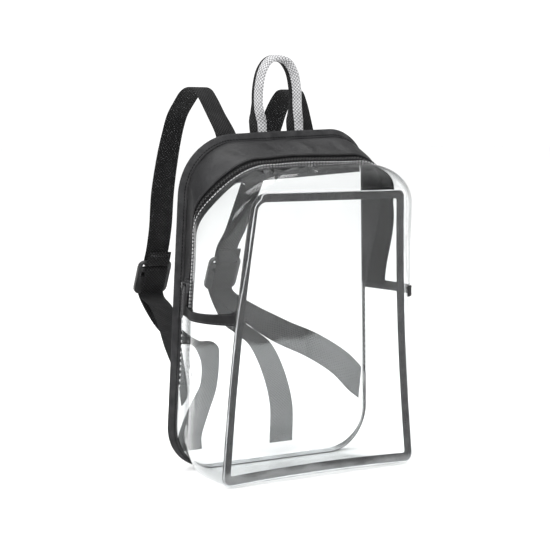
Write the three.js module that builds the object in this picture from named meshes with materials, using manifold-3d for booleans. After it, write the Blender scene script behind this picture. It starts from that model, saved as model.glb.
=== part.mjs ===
// A clear stadium backpack, standing on its base with its straps held out behind it.
// Millimetres, z up. The origin is the middle of the base: the clear front faces -y, the straps are at +y.
import * as THREE from 'three';
import { mergeVertices } from 'three/addons/utils/BufferGeometryUtils.js';
import Module from 'manifold-3d';

const wasm = await Module();
wasm.setup();

// Bag body
const BASE_DEPTH = 80;
const FRONT_WIDTH_BOTTOM = 205;
const FRONT_WIDTH_TOP = 161;
const FRONT_BOTTOM = 3;
const FRONT_TOP = 255;
const FRONT_CORNER = 8;
const FRONT_SLUMPED_CORNER = 17;
const FRONT_LEAN = 5.6;
const FRONT_DISH = 5;
const FRONT_ARCH = 2;
const BACK_WIDTH_BOTTOM = 208;
const BACK_WIDTH_TOP = 186;
const BACK_TOP = 297;
const BACK_FOOT = 40;
const BACK_SHOULDER = 34;
const BACK_SLUMPED_SHOULDER = 50;
const BACK_TILT = 0.04;
const SKEW = 4;
const BELLY_WIDTH_BOTTOM = 220;
const BELLY_WIDTH_TOP = 212;
const BELLY_TOP = 275.5;
const BELLY_FOOT = 26;
const BELLY_SHOULDER = 40;
const BELLY_SLUMPED_SHOULDER = 75;
const BELLY_TILT = 0.02;
const BELLY_SHARE = 0.42;
const BAND_HEIGHT = 155;
const BAND_RISE = 7;

// Sheets, tapes and the clearance between two pieces that touch
const VINYL = 1;
const FABRIC = 1.2;
const TAPE = 0.8;
const GAP = 0.3;
const FRONT_TAPE_WIDTH = 8.5;
const BAND_WIDTH = 8.5;
const YOKE_DEPTH = 35.5;
const YOKE_TILT = 0.06;
const YOKE_LAP = 8;
const YOKE_INSET = 2;
const BINDING_WIDTH = 8.5;
const BINDING_THICKNESS = 2.4;
const BINDING_START = 1.2;
const MITRE_RADIUS = 2;

// Zip: the distance from the back seam to its front edge is in GUSSET_ROWS
const ZIP_OPENING = 10;
const ZIP_COIL_WIDTH = 4.5;
const ZIP_COIL_HEIGHT = 1.5;
const ZIP_TAPE_FRONT = 8;
const ZIP_TAPE_BACK = 4;
const SLIDER_HEIGHT = 171;
const SLIDER_LENGTH = 12;
const SLIDER_WIDTH = 9;
const SLIDER_THICKNESS = 3.2;
const CROWN_LENGTH = 7;
const CROWN_RISE = 3.6;
const CROWN_WIDTH = 2.4;
const CROWN_BAR = 1.1;
const PULL_LENGTH = 30;
const PULL_WIDTH = 7;
const PULL_THICKNESS = 1.4;
const PULL_EYE = 4.6;
const PULL_RAIL = 1.6;

// Webbing, buckles and handle
const WEBBING = 25;
const WEBBING_THICKNESS = 1.6;
const STRAP_ASIDE = 42;
const STRAP_REACH = 160;
const STRAP_CREST = 48;
const BUCKLE_ASIDE_LEFT = 41.5;
const BUCKLE_ASIDE_RIGHT = 39;
const BUCKLE_HEIGHT = 160;
const BUCKLE_WIDTH = 36;
const BUCKLE_LENGTH = 36;
const BUCKLE_THICKNESS = 3.2;
const BUCKLE_CORNER = 7;
const BUCKLE_SLOT_WIDTH = 28.2;
const BUCKLE_SLOT = 5.6;
const BUCKLE_BAR = 3;
const BUCKLE_SLIP = -1.2;
const BUCKLE_SLOPE = 24;
const BUCKLE_FOLD = 12;
const ANCHOR_HEIGHT = 62;
const HANDLE_APART = 20;
const HANDLE_SHIFT = 6.5;
const HANDLE_RISE = 75;
const HANDLE_FLAT_WIDTH = 17.5;
const HANDLE_FLAT_THICKNESS = 3;
const HANDLE_FOLD_WIDTH = 12.4;
const HANDLE_FOLD_THICKNESS = 6.2;
const HANDLE_SEAM = 1.2;
const HANDLE_TURN_LEFT = 78;
const HANDLE_TURN_RIGHT = 62;

const FRONT_Y = -BASE_DEPTH / 2;
const BACK_Y = BASE_DEPTH / 2;

// Half of each outline, from the bottom centre up to the top centre, in stretches that match between the
// front seam and the back seam
const STRETCHES = [
  { name: 'bottom', end: 0.15, steps: 3 },
  { name: 'foot', end: 0.28, steps: 6 },
  { name: 'lowerSide', end: 0.46, steps: 6 },
  { name: 'upperSide', end: 0.62, steps: 5 },
  { name: 'shoulder', end: 0.86, steps: 9 },
  { name: 'top', end: 1, steps: 4 },
];
const BAND_SHARE = STRETCHES[2].end;

// Up the gusset: zip is the distance in millimetres from the back seam to the zip's front edge, and flare is
// how far the binding turns outwards
const GUSSET_ROWS = [
  { up: 0, zip: 20, flare: 0 },
  { up: 0.15, zip: 20, flare: 0 },
  { up: 0.28, zip: 20, flare: 0.7 },
  { up: 0.46, zip: 22, flare: 0.71 },
  { up: 0.62, zip: 42, flare: 0.71 },
  { up: 0.74, zip: 50, flare: 0.8 },
  { up: 0.86, zip: 45, flare: 0.88 },
  { up: 1, zip: 42, flare: 0.92 },
];

const lerp = THREE.MathUtils.lerp;
const smooth = (value) => THREE.MathUtils.smoothstep(value, 0, 1);

// Positions round the whole loop: s from 0 to 1 up the right side, from 1 to 2 down the left side
const upShare = (s) => {
  const turned = THREE.MathUtils.euclideanModulo(s, 2);
  return turned <= 1 ? turned : 2 - turned;
};
const sideOf = (s) => (THREE.MathUtils.euclideanModulo(s, 2) <= 1 ? 1 : -1);

function columnAt(s, column) {
  const up = upShare(s);
  const index = Math.max(1, GUSSET_ROWS.findIndex((row) => up <= row.up + 1e-9));
  const [before, after] = [GUSSET_ROWS[index - 1], GUSSET_ROWS[index]];
  return lerp(before[column], after[column], smooth((up - before.up) / (after.up - before.up)));
}

function cornerArc(point, into, outOf, radius) {
  const turn = into.angleTo(outOf);
  const reach = radius * Math.tan(turn / 2);
  const start = point.clone().addScaledVector(into, -reach);
  const inward = new THREE.Vector2(-into.y, into.x);
  const centre = start.clone().addScaledVector(inward, radius);
  const end = point.clone().addScaledVector(outOf, reach);
  return { start, end, at: (share) => start.clone().rotateAround(centre, turn * share) };
}

// A corner between two edges that both move inwards by the same distance
function movedIn(point, into, outOf, distance) {
  const inwards = new THREE.Vector2(-into.y - outOf.y, into.x + outOf.x);
  return point.clone().addScaledVector(inwards, distance / (1 + into.dot(outOf)));
}

// The right or left half (side is 1 or -1) of a rounded trapezoid, moved inwards by inset. Given u from 0,
// bottom centre, to 1, top centre, it returns a point of the half as if it were on the right.
function makeHalf(sizes, side, inset) {
  const reach = sizes.topHalf + side * sizes.skew;
  const footPoint = new THREE.Vector2(sizes.bottomHalf, sizes.bottom);
  const shoulderPoint = new THREE.Vector2(reach, sizes.top + side * sizes.tilt * reach);
  const across = new THREE.Vector2(1, 0);
  const up = shoulderPoint.clone().sub(footPoint).normalize();
  const over = new THREE.Vector2(-1, -side * sizes.tilt).normalize();
  const footCorner = movedIn(footPoint, across, up, inset);
  const shoulderCorner = movedIn(shoulderPoint, up, over, inset);
  const crest = new THREE.Vector2(0, sizes.top - inset / Math.abs(over.x));
  const shoulderRadius = side > 0 ? sizes.shoulder : sizes.slumpedShoulder;
  const footArc = cornerArc(footCorner, across, up, Math.max(sizes.foot - inset, MITRE_RADIUS));
  const shoulderArc = cornerArc(shoulderCorner, up, over, Math.max(shoulderRadius - inset, MITRE_RADIUS));
  const bandHeight = BAND_HEIGHT + side * BAND_RISE;
  const bandShare = (bandHeight - footCorner.y) / (shoulderCorner.y - footCorner.y);
  const band = footCorner.clone().lerp(shoulderCorner, bandShare);
  const line = (from, to) => (share) => from.clone().lerp(to, share);
  const pieces = [
    (share) => {
      const point = new THREE.Vector2(0, footCorner.y).lerp(footArc.start, share);
      return point.setY(point.y + sizes.arch * (1 - share * share));
    },
    footArc.at,
    line(footArc.end, band),
    line(band, shoulderArc.start),
    shoulderArc.at,
    line(shoulderArc.end, crest),
  ];
  return (u) => {
    const index = Math.max(0, STRETCHES.findIndex((stretch) => u <= stretch.end + 1e-9));
    const start = index > 0 ? STRETCHES[index - 1].end : 0;
    return pieces[index]((u - start) / (STRETCHES[index].end - start));
  };
}

// The whole outline as a function of the loop position s
function makeOutline(sizes, inset = 0) {
  const right = makeHalf(sizes, 1, inset);
  const left = makeHalf(sizes, -1, inset);
  return (s) => {
    const point = (sideOf(s) > 0 ? right : left)(upShare(s));
    return point.setX(point.x * sideOf(s));
  };
}

const FRONT_SIZES = {
  bottom: FRONT_BOTTOM,
  top: FRONT_TOP,
  bottomHalf: FRONT_WIDTH_BOTTOM / 2,
  topHalf: FRONT_WIDTH_TOP / 2,
  foot: FRONT_CORNER,
  shoulder: FRONT_CORNER,
  slumpedShoulder: FRONT_SLUMPED_CORNER,
  arch: FRONT_ARCH,
  tilt: 0,
  skew: SKEW,
};
const BELLY_SIZES = {
  bottom: VINYL / 2,
  top: BELLY_TOP,
  bottomHalf: BELLY_WIDTH_BOTTOM / 2,
  topHalf: BELLY_WIDTH_TOP / 2,
  foot: BELLY_FOOT,
  shoulder: BELLY_SHOULDER,
  slumpedShoulder: BELLY_SLUMPED_SHOULDER,
  arch: 0,
  tilt: BELLY_TILT,
  skew: 0,
};
const BACK_SIZES = {
  bottom: VINYL / 2,
  top: BACK_TOP,
  bottomHalf: BACK_WIDTH_BOTTOM / 2,
  topHalf: BACK_WIDTH_TOP / 2,
  foot: BACK_FOOT,
  shoulder: BACK_SHOULDER,
  slumpedShoulder: BACK_SLUMPED_SHOULDER,
  arch: 0,
  tilt: BACK_TILT,
  skew: SKEW,
};
const frontOutline = makeOutline(FRONT_SIZES);
const bellyOutline = makeOutline(BELLY_SIZES);
const backOutline = makeOutline(BACK_SIZES);

// The direction along the back seam
function seamDirection(s) {
  return backOutline(s + 0.004).sub(backOutline(s - 0.004)).normalize();
}

// The front panel leans forward at its top and is dished between its seams
function frontPlane(z) {
  const share = THREE.MathUtils.clamp((z - FRONT_BOTTOM) / (FRONT_TOP - FRONT_BOTTOM), 0, 1);
  return FRONT_Y - FRONT_LEAN * share + FRONT_DISH * Math.sin(Math.PI * share);
}

// Stations that follow the stretches between two loop positions
function stations(from, to) {
  const marks = [0];
  for (const [index, { end, steps }] of STRETCHES.entries()) {
    const start = index > 0 ? STRETCHES[index - 1].end : 0;
    for (let step = 1; step <= steps; step += 1) marks.push(lerp(start, end, step / steps));
  }
  const round = [-2, 0, 2].flatMap((lap) => marks.flatMap((mark) => [lap + mark, lap + 2 - mark]));
  const inside = round.filter((mark) => mark > from + 1e-6 && mark < to - 1e-6);
  const sorted = [from, ...inside, to].sort((a, b) => a - b);
  return sorted.filter((mark, index) => index === 0 || mark - sorted[index - 1] > 1e-6);
}

// The gusset swells from the front seam (t = 0) to the belly and runs in again to the back seam (t = 1)
function gussetPoint(s, t) {
  const front = frontOutline(s);
  const isFront = t < BELLY_SHARE;
  const swell = isFront
    ? Math.sqrt(Math.max(0, 1 - (1 - t / BELLY_SHARE) ** 2))
    : 0.5 + 0.5 * Math.cos((Math.PI * (t - BELLY_SHARE)) / (1 - BELLY_SHARE));
  const { x, y } = (isFront ? front.clone() : backOutline(s)).lerp(bellyOutline(s), swell);
  return new THREE.Vector3(x, lerp(frontPlane(front.y), BACK_Y, t), y);
}

function gussetNormal(s, t) {
  const step = 0.002;
  const across = gussetPoint(s, Math.min(1, t + step)).sub(gussetPoint(s, Math.max(0, t - step)));
  const along = gussetPoint(s + step, t).sub(gussetPoint(s - step, t));
  return across.cross(along).normalize();
}

// The share t at a distance along the gusset, measured from the back seam or from the front seam
function gussetShare(s, distance, fromBack = true) {
  const steps = 60;
  let walked = 0;
  for (let step = 0; step < steps; step += 1) {
    const t0 = fromBack ? 1 - step / steps : step / steps;
    const t1 = fromBack ? 1 - (step + 1) / steps : (step + 1) / steps;
    const length = gussetPoint(s, t0).distanceTo(gussetPoint(s, t1));
    if (walked + length >= distance) return lerp(t0, t1, (distance - walked) / length);
    walked += length;
  }
  return fromBack ? 0 : 1;
}

// One closed solid through rows of points: each row has a line of points on its outer and its inner face
function loft(rows, closed = false) {
  const count = rows[0].outer.length;
  const perimeter = rows.map(({ outer, inner }) => [...outer, ...[...inner].reverse()]);
  const triangles = [];
  const addTriangle = (a, b, c) => {
    const area = b.clone().sub(a).cross(c.clone().sub(a)).length();
    if (area > 1e-5) triangles.push([a, b, c]);
  };
  const addQuad = (a, b, c, d) => {
    addTriangle(a, b, c);
    addTriangle(a, c, d);
  };
  const last = closed ? rows.length : rows.length - 1;
  for (let row = 0; row < last; row += 1) {
    const here = perimeter[row];
    const next = perimeter[(row + 1) % rows.length];
    for (let i = 0; i < here.length; i += 1) {
      const j = (i + 1) % here.length;
      addQuad(here[i], here[j], next[j], next[i]);
    }
  }
  if (!closed) {
    for (let i = 0; i < count - 1; i += 1) {
      const first = rows[0];
      const final = rows[rows.length - 1];
      addQuad(first.outer[i], first.inner[i], first.inner[i + 1], first.outer[i + 1]);
      addQuad(final.outer[i], final.outer[i + 1], final.inner[i + 1], final.inner[i]);
    }
  }
  const volume = triangles.reduce((sum, [a, b, c]) => sum + a.dot(b.clone().cross(c)), 0);
  const facing = volume < 0 ? triangles.map(([a, b, c]) => [a, c, b]) : triangles;
  const geometry = new THREE.BufferGeometry().setFromPoints(facing.flat());
  geometry.computeVertexNormals();
  return geometry;
}

// A sheet of the gusset between two loop positions and two shares of its depth, from offset low to high
function gussetSheet({ from, to, start, end, low, high, across = 6, ease = 1 }) {
  const rows = stations(from, to).map((s) => {
    const outer = [];
    const inner = [];
    for (let step = 0; step <= across; step += 1) {
      const t = lerp(start(s), end(s), (step / across) ** ease);
      const point = gussetPoint(s, t);
      const normal = gussetNormal(s, t);
      outer.push(point.clone().addScaledVector(normal, high));
      inner.push(point.clone().addScaledVector(normal, low));
    }
    return { outer, inner };
  });
  return loft(rows);
}

const zipFront = (s) => columnAt(s, 'zip');
const seamStart = (s) => gussetShare(s, VINYL / 2 + GAP, false);
const UPPER = { from: BAND_SHARE + 0.001, to: 2 - BAND_SHARE - 0.001 };

function makeUpperClear() {
  const end = (s) => gussetShare(s, zipFront(s));
  return gussetSheet({ ...UPPER, start: seamStart, end, low: -VINYL / 2, high: VINYL / 2, ease: 1.6 });
}

function makeLowerClear() {
  const from = -BAND_SHARE + 0.001;
  return gussetSheet({
    from, to: -from, start: seamStart, end: () => 1, low: -VINYL / 2, high: VINYL / 2, across: 8, ease: 1.6,
  });
}

function makeFabric() {
  const start = (s) => gussetShare(s, zipFront(s) - ZIP_OPENING);
  return gussetSheet({ ...UPPER, start, end: () => 1, low: -FABRIC / 2, high: FABRIC / 2, across: 3 });
}

const TAPE_TOP = -FABRIC / 2 - 2 * GAP;
function makeZipTape() {
  const start = (s) => gussetShare(s, zipFront(s) + ZIP_TAPE_FRONT);
  const end = (s) => gussetShare(s, zipFront(s) - ZIP_OPENING - ZIP_TAPE_BACK);
  return gussetSheet({ ...UPPER, start, end, low: TAPE_TOP - TAPE, high: TAPE_TOP, across: 2 });
}

const COIL_LOW = TAPE_TOP + GAP;
function makeZipCoil() {
  const middle = (s) => zipFront(s) - ZIP_OPENING / 2;
  const start = (s) => gussetShare(s, middle(s) + ZIP_COIL_WIDTH / 2);
  const end = (s) => gussetShare(s, middle(s) - ZIP_COIL_WIDTH / 2);
  const high = COIL_LOW + ZIP_COIL_HEIGHT;
  return gussetSheet({ ...UPPER, start, end, low: COIL_LOW, high, across: 1 });
}

function makeSideBand(side) {
  const middle = side > 0 ? BAND_SHARE : 2 - BAND_SHARE;
  const length = gussetPoint(middle + 0.02, 0.5).distanceTo(gussetPoint(middle - 0.02, 0.5));
  const reach = (0.04 * BAND_WIDTH) / 2 / length;
  const low = COIL_LOW + ZIP_COIL_HEIGHT + GAP;
  const end = (s) => gussetShare(s, GAP);
  const [from, to, high] = [middle - reach, middle + reach, low + TAPE];
  return gussetSheet({ from, to, start: seamStart, end, low, high, across: 9, ease: 1.6 });
}

// A flat panel inside an outline, with its rim and rings of points towards its middle
function makePanel({ outline, middle, rings, plane, thickness }) {
  const rows = stations(0, 2).slice(0, -1).map((s) => {
    const rim = outline(s);
    const points = Array.from({ length: rings + 1 }, (_, ring) => {
      const flat = rim.clone().lerp(middle, ring / rings);
      return new THREE.Vector3(flat.x, plane(flat.y), flat.y);
    });
    const shift = (amount) => points.map((point) => point.clone().setY(point.y + amount));
    return { outer: shift(-thickness / 2), inner: shift(thickness / 2) };
  });
  return loft(rows, true);
}

function makeFrontPanel() {
  const outline = makeOutline(FRONT_SIZES, VINYL / 2);
  const middle = new THREE.Vector2(0, (FRONT_BOTTOM + FRONT_TOP) / 2);
  return makePanel({ outline, middle, rings: 4, plane: frontPlane, thickness: VINYL });
}

// Binding tape inside the front seam, flat against the front panel
function makeFrontTape() {
  const outside = makeOutline(FRONT_SIZES, VINYL / 2 + GAP);
  const inside = makeOutline(FRONT_SIZES, FRONT_TAPE_WIDTH);
  const lift = VINYL / 2 + GAP;
  const rows = stations(0, 2).slice(0, -1).map((s) => {
    const flat = [outside(s), inside(s)];
    const face = (amount) => flat.map(({ x, y }) => new THREE.Vector3(x, frontPlane(y) + amount, y));
    return { outer: face(lift), inner: face(lift + TAPE) };
  });
  return loft(rows, true);
}

const yokeEdge = (x) => BACK_TOP - YOKE_DEPTH + YOKE_TILT * x;

// The clear back runs up under the yoke by YOKE_LAP
function makeBackPanel() {
  const seam = makeOutline(BACK_SIZES, VINYL / 2 + GAP);
  const middle = new THREE.Vector2(0, (BACK_TOP - YOKE_DEPTH) / 2);
  const rows = stations(0, 2).slice(0, -1).map((s) => {
    const rim = seam(s);
    rim.setY(Math.min(rim.y, yokeEdge(rim.x) + YOKE_LAP));
    const face = (amount) => [0, 0.5, 1].map((share) => {
      const flat = rim.clone().lerp(middle, share);
      return new THREE.Vector3(flat.x, BACK_Y + amount, flat.y);
    });
    return { outer: face(-VINYL / 2), inner: face(VINYL / 2) };
  });
  return loft(rows, true);
}

const YOKE_Y = BACK_Y + VINYL / 2 + GAP;
function makeYoke() {
  const seam = makeOutline(BACK_SIZES, YOKE_INSET);
  const isAbove = (s) => seam(s).y > yokeEdge(seam(s).x) + 1;
  const round = stations(BAND_SHARE, 2 - BAND_SHARE).filter(isAbove);
  const rows = round.map((s) => {
    const { x, y } = seam(s);
    const face = (depth) => [y, yokeEdge(x)].map((z) => new THREE.Vector3(x, depth, z));
    return { outer: face(YOKE_Y), inner: face(YOKE_Y + FABRIC) };
  });
  return loft(rows);
}

// Binding folded over the back seam: a flange that stands up and out, and lies back flat under the base
function makeBackBinding() {
  const centre = makeOutline(BACK_SIZES, (BINDING_THICKNESS - VINYL) / 2);
  const rows = stations(0, 2).slice(0, -1).map((s) => {
    const flat = centre(s);
    const along = seamDirection(s);
    const out = columnAt(s, 'flare');
    const back = Math.sqrt(1 - out * out);
    const outwards = new THREE.Vector3(along.y, 0, -along.x);
    const direction = outwards.clone().multiplyScalar(out).setY(back);
    const across = outwards.clone().multiplyScalar(-back).setY(out);
    const root = new THREE.Vector3(flat.x, BACK_Y, flat.y);
    const face = (amount) => [BINDING_START, BINDING_START + BINDING_WIDTH].map((reach) => (
      root.clone().addScaledVector(direction, reach).addScaledVector(across, amount)
    ));
    return { outer: face(-BINDING_THICKNESS / 2), inner: face(BINDING_THICKNESS / 2) };
  });
  return loft(rows, true);
}

// Webbing along a list of { point, width } places, where width is the direction across the webbing. A width
// that isn't square to the run cuts the webbing on the slant and keeps its edges straight.
function makeWebbing(places, stepsEach = 3) {
  const curve = new THREE.CatmullRomCurve3(places.map(({ point }) => point), false, 'centripetal');
  const spans = places.length - 1;
  const rows = Array.from({ length: spans * stepsEach + 1 }, (_, index) => {
    const share = index / (spans * stepsEach);
    const span = Math.min(spans - 1, Math.floor(share * spans + 1e-9));
    const point = curve.getPoint(share);
    const tangent = curve.getTangent(share);
    const width = places[span].width.clone();
    width.lerp(places[span + 1].width, share * spans - span).normalize();
    const square = width.clone().addScaledVector(tangent, -width.dot(tangent));
    const half = width.multiplyScalar(WEBBING / 2 / square.length());
    const normal = tangent.clone().cross(square).normalize().multiplyScalar(WEBBING_THICKNESS / 2);
    const edges = (amount) => [-1, 1].map((edge) => (
      point.clone().addScaledVector(half, edge).addScaledVector(normal, amount)
    ));
    return { outer: edges(1), inner: edges(-1) };
  });
  return loft(rows);
}

// Directions across a webbing: swing turns it from +x towards +y, tip lifts its +x edge (degrees)
function widthDirection({ swing = 0, tip = 0 }, side = 1) {
  const [a, b] = [swing, tip].map(THREE.MathUtils.degToRad);
  return new THREE.Vector3(Math.cos(a) * Math.cos(b), Math.sin(a) * Math.cos(b) * side, Math.sin(b) * side);
}

// Each buckle hangs along the strap: down is its long direction and out its face towards the bag
const SLOPE = THREE.MathUtils.degToRad(BUCKLE_SLOPE);
const BUCKLE_DOWN = new THREE.Vector3(0, Math.sin(SLOPE), -Math.cos(SLOPE));
const BUCKLE_OUT = new THREE.Vector3(0, -Math.cos(SLOPE), -Math.sin(SLOPE));
const TURN_RADIUS = Math.hypot(BUCKLE_BAR, BUCKLE_THICKNESS) / 2 + GAP + WEBBING_THICKNESS / 2;
const TOP_BAR = -BUCKLE_LENGTH / 2 + BUCKLE_BAR / 2;
const MIDDLE_BAR = TOP_BAR + BUCKLE_SLOT + BUCKLE_BAR;

function buckleCentre(side) {
  const x = side > 0 ? BUCKLE_ASIDE_RIGHT : -BUCKLE_ASIDE_LEFT;
  return new THREE.Vector3(x, BACK_Y + STRAP_REACH, BUCKLE_HEIGHT);
}
const bucklePlace = (side, down, out, shift = 0) => buckleCentre(side)
  .addScaledVector(BUCKLE_DOWN, down)
  .addScaledVector(BUCKLE_OUT, out)
  .add(new THREE.Vector3(shift, 0, 0));

// Half a turn of webbing round a bar of the buckle; round is -1 to pass below the bar, 1 to pass above it
function turnRound(side, bar, round) {
  const angles = round < 0 ? [180, 150, 120, 90, 60, 30, 0] : [0, -30, -60, -90, -120, -150, -180];
  return angles.map((degrees) => {
    const angle = THREE.MathUtils.degToRad(degrees);
    const down = bar + TURN_RADIUS * Math.sin(angle);
    return {
      point: bucklePlace(side, down, TURN_RADIUS * Math.cos(angle)),
      width: new THREE.Vector3(1, 0, 0),
    };
  });
}

// Upper straps: back is a share of STRAP_REACH behind the back seam, up a share of the way from the buckle's
// height to the crest, aside a share of STRAP_ASIDE, and swing in degrees
const STRAP_ROWS = {
  left: [
    { back: 0.043, up: 0.645, aside: 1.05, swing: 0 },
    { back: 0.048, up: 0.7, aside: 1.05, swing: 4 },
    { back: 0.085, up: 0.77, aside: 1.05, swing: 12 },
    { back: 0.2, up: 0.87, aside: 1.05, swing: 18 },
    { back: 0.3, up: 0.955, aside: 1.05, swing: 18 },
    { back: 0.36, up: 0.99, aside: 1.05, swing: 14 },
    { back: 0.42, up: 1, aside: 1.05, swing: 8 },
    { back: 0.49, up: 0.98, aside: 1.05, swing: 6 },
    { back: 0.57, up: 0.93, aside: 1.05, swing: 8 },
    { back: 0.66, up: 0.86, aside: 1.05, swing: 10 },
    { back: 0.71, up: 0.78, aside: 1.06, swing: 10 },
    { back: 0.76, up: 0.66, aside: 1.08, swing: 6 },
    { back: 0.83, up: 0.46, aside: 1.08, swing: 0 },
    { back: 0.9, up: 0.27, aside: 1, swing: 0 },
  ],
  right: [
    { back: 0.043, up: 0.645, aside: 0.92, swing: 0 },
    { back: 0.048, up: 0.7, aside: 0.92, swing: 0 },
    { back: 0.078, up: 0.77, aside: 0.92, swing: 0 },
    { back: 0.112, up: 0.86, aside: 0.92, swing: 6 },
    { back: 0.15, up: 0.94, aside: 0.92, swing: 10 },
    { back: 0.19, up: 0.985, aside: 0.92, swing: 10 },
    { back: 0.24, up: 0.99, aside: 0.92, swing: 6 },
    { back: 0.29, up: 0.965, aside: 0.92, swing: 4 },
    { back: 0.37, up: 0.89, aside: 0.92, swing: 0 },
    { back: 0.44, up: 0.79, aside: 0.92, swing: 0 },
    { back: 0.54, up: 0.65, aside: 0.92, swing: 0 },
    { back: 0.66, up: 0.49, aside: 0.92, swing: 0 },
    { back: 0.76, up: 0.36, aside: 0.92, swing: 4 },
    { back: 0.85, up: 0.24, aside: 0.92, swing: 4 },
  ],
};

function makeUpperStrap(name, side) {
  const climb = BACK_TOP + STRAP_CREST - BUCKLE_HEIGHT;
  const width = new THREE.Vector3(1, 0, 0);
  const places = STRAP_ROWS[name].map(({ back, up, aside, swing }) => ({
    point: new THREE.Vector3(
      side * STRAP_ASIDE * aside,
      BACK_Y + STRAP_REACH * back,
      BUCKLE_HEIGHT + climb * up,
    ),
    width: widthDirection({ swing }),
  }));
  places.push({ point: bucklePlace(side, TOP_BAR - 12, -TURN_RADIUS), width });
  places.push(...turnRound(side, TOP_BAR, -1));
  places.push({ point: bucklePlace(side, TOP_BAR - BUCKLE_FOLD / 2, TURN_RADIUS), width });
  places.push({ point: bucklePlace(side, TOP_BAR - BUCKLE_FOLD, TURN_RADIUS - 0.4), width });
  return makeWebbing(places);
}

// Lower webbing, from its seam to the buckle: out is a share of the half width at the seam, back a share of
// STRAP_REACH behind the back seam, and up a share of the buckle's height
const LOWER_ROWS = {
  left: [
    { out: 0.96, back: 0.016, up: 0.47, swing: 0, tip: -84 },
    { out: 0.93, back: 0.03, up: 0.49, swing: 4, tip: -66 },
    { out: 0.86, back: 0.15, up: 0.55, swing: 8, tip: -44 },
    { out: 0.78, back: 0.3, up: 0.63, swing: 8, tip: -32 },
    { out: 0.66, back: 0.5, up: 0.73, swing: 8, tip: -20 },
    { out: 0.54, back: 0.74, up: 0.84, swing: 4, tip: -6 },
  ],
  right: [
    { out: 0.98, back: 0.016, up: 0.4, swing: 0, tip: 84 },
    { out: 0.95, back: 0.03, up: 0.42, swing: 0, tip: 66 },
    { out: 0.83, back: 0.1, up: 0.52, swing: -4, tip: 60 },
    { out: 0.68, back: 0.24, up: 0.61, swing: -10, tip: 66 },
    { out: 0.53, back: 0.46, up: 0.68, swing: -20, tip: 46 },
    { out: 0.42, back: 0.74, up: 0.78, swing: -10, tip: 14 },
  ],
};

// The free tail, from the buckle to its end, in the same shares
const TAIL_ROWS = {
  left: [
    { out: 0.37, back: 0.86, up: 0.7, swing: 0, tip: 0 },
    { out: 0.33, back: 0.66, up: 0.63, swing: 0, tip: 0 },
    { out: 0.34, back: 0.46, up: 0.645, swing: 10, tip: 0 },
    { out: 0.43, back: 0.27, up: 0.6, swing: 30, tip: 0 },
    { out: 0.55, back: 0.15, up: 0.46, swing: 30, tip: 0 },
    { out: 0.7, back: 0.1, up: 0.32, swing: 14, tip: -10 },
    { out: 0.8, back: 0.085, up: 0.18, swing: 4, tip: -4 },
    { out: 0.8, back: 0.085, up: 0.1, swing: 0, tip: 0 },
  ],
  right: [
    { out: 0.37, back: 0.86, up: 0.7, swing: 0, tip: 0 },
    { out: 0.36, back: 0.68, up: 0.65, swing: 0, tip: 0 },
    { out: 0.34, back: 0.5, up: 0.6, swing: 0, tip: 0 },
    { out: 0.31, back: 0.32, up: 0.46, swing: 0, tip: 0 },
    { out: 0.28, back: 0.2, up: 0.28, swing: 0, tip: 0 },
    { out: 0.22, back: 0.14, up: 0.07, swing: 0, tip: 0 },
  ],
};

function seamHalfWidth(height) {
  const share = height / BACK_TOP;
  return lerp(BACK_WIDTH_BOTTOM, BACK_WIDTH_TOP, share) / 2;
}

function makeLowerWebbing(name, side) {
  const seat = VINYL / 2 + GAP + WEBBING_THICKNESS / 2;
  const half = seamHalfWidth(ANCHOR_HEIGHT);
  const place = ({ out, back, up, swing, tip }) => {
    const behind = Math.max(seat, STRAP_REACH * back);
    return {
      point: new THREE.Vector3(side * half * out, BACK_Y + behind, BUCKLE_HEIGHT * up),
      width: widthDirection({ swing, tip }),
    };
  };
  const width = new THREE.Vector3(1, 0, 0);
  const anchored = LOWER_ROWS[name].map(place);
  const tail = TAIL_ROWS[name].map(place);
  const foot = BUCKLE_LENGTH / 2;
  return makeWebbing([
    ...anchored,
    { point: bucklePlace(side, foot, TURN_RADIUS + 1), width },
    { point: bucklePlace(side, foot / 2, TURN_RADIUS), width },
    ...turnRound(side, MIDDLE_BAR, 1),
    { point: bucklePlace(side, foot / 2, -TURN_RADIUS), width },
    { point: bucklePlace(side, foot, -TURN_RADIUS), width },
    ...tail,
  ]);
}

function roundedRectangle(shape, width, height, radius, centreY = 0) {
  const [x, y] = [width / 2, height / 2];
  shape.moveTo(-x + radius, centreY - y);
  shape.lineTo(x - radius, centreY - y);
  shape.quadraticCurveTo(x, centreY - y, x, centreY - y + radius);
  shape.lineTo(x, centreY + y - radius);
  shape.quadraticCurveTo(x, centreY + y, x - radius, centreY + y);
  shape.lineTo(-x + radius, centreY + y);
  shape.quadraticCurveTo(-x, centreY + y, -x, centreY + y - radius);
  shape.lineTo(-x, centreY - y + radius);
  shape.quadraticCurveTo(-x, centreY - y, -x + radius, centreY - y);
  return shape;
}

// Ladder-lock buckle: a plate with a top bar, a middle bar and a deep bottom bar
function makeBuckle() {
  const plate = roundedRectangle(new THREE.Shape(), BUCKLE_WIDTH, BUCKLE_LENGTH, BUCKLE_CORNER);
  for (const bar of [TOP_BAR, MIDDLE_BAR]) {
    const centre = -(bar + BUCKLE_BAR / 2 + BUCKLE_SLOT / 2);
    plate.holes.push(roundedRectangle(new THREE.Path(), BUCKLE_SLOT_WIDTH, BUCKLE_SLOT, 1, centre));
  }
  const body = new THREE.ExtrudeGeometry(plate, {
    depth: BUCKLE_THICKNESS, bevelEnabled: false, curveSegments: 4,
  });
  return body.translate(0, 0, -BUCKLE_THICKNESS / 2);
}

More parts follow.
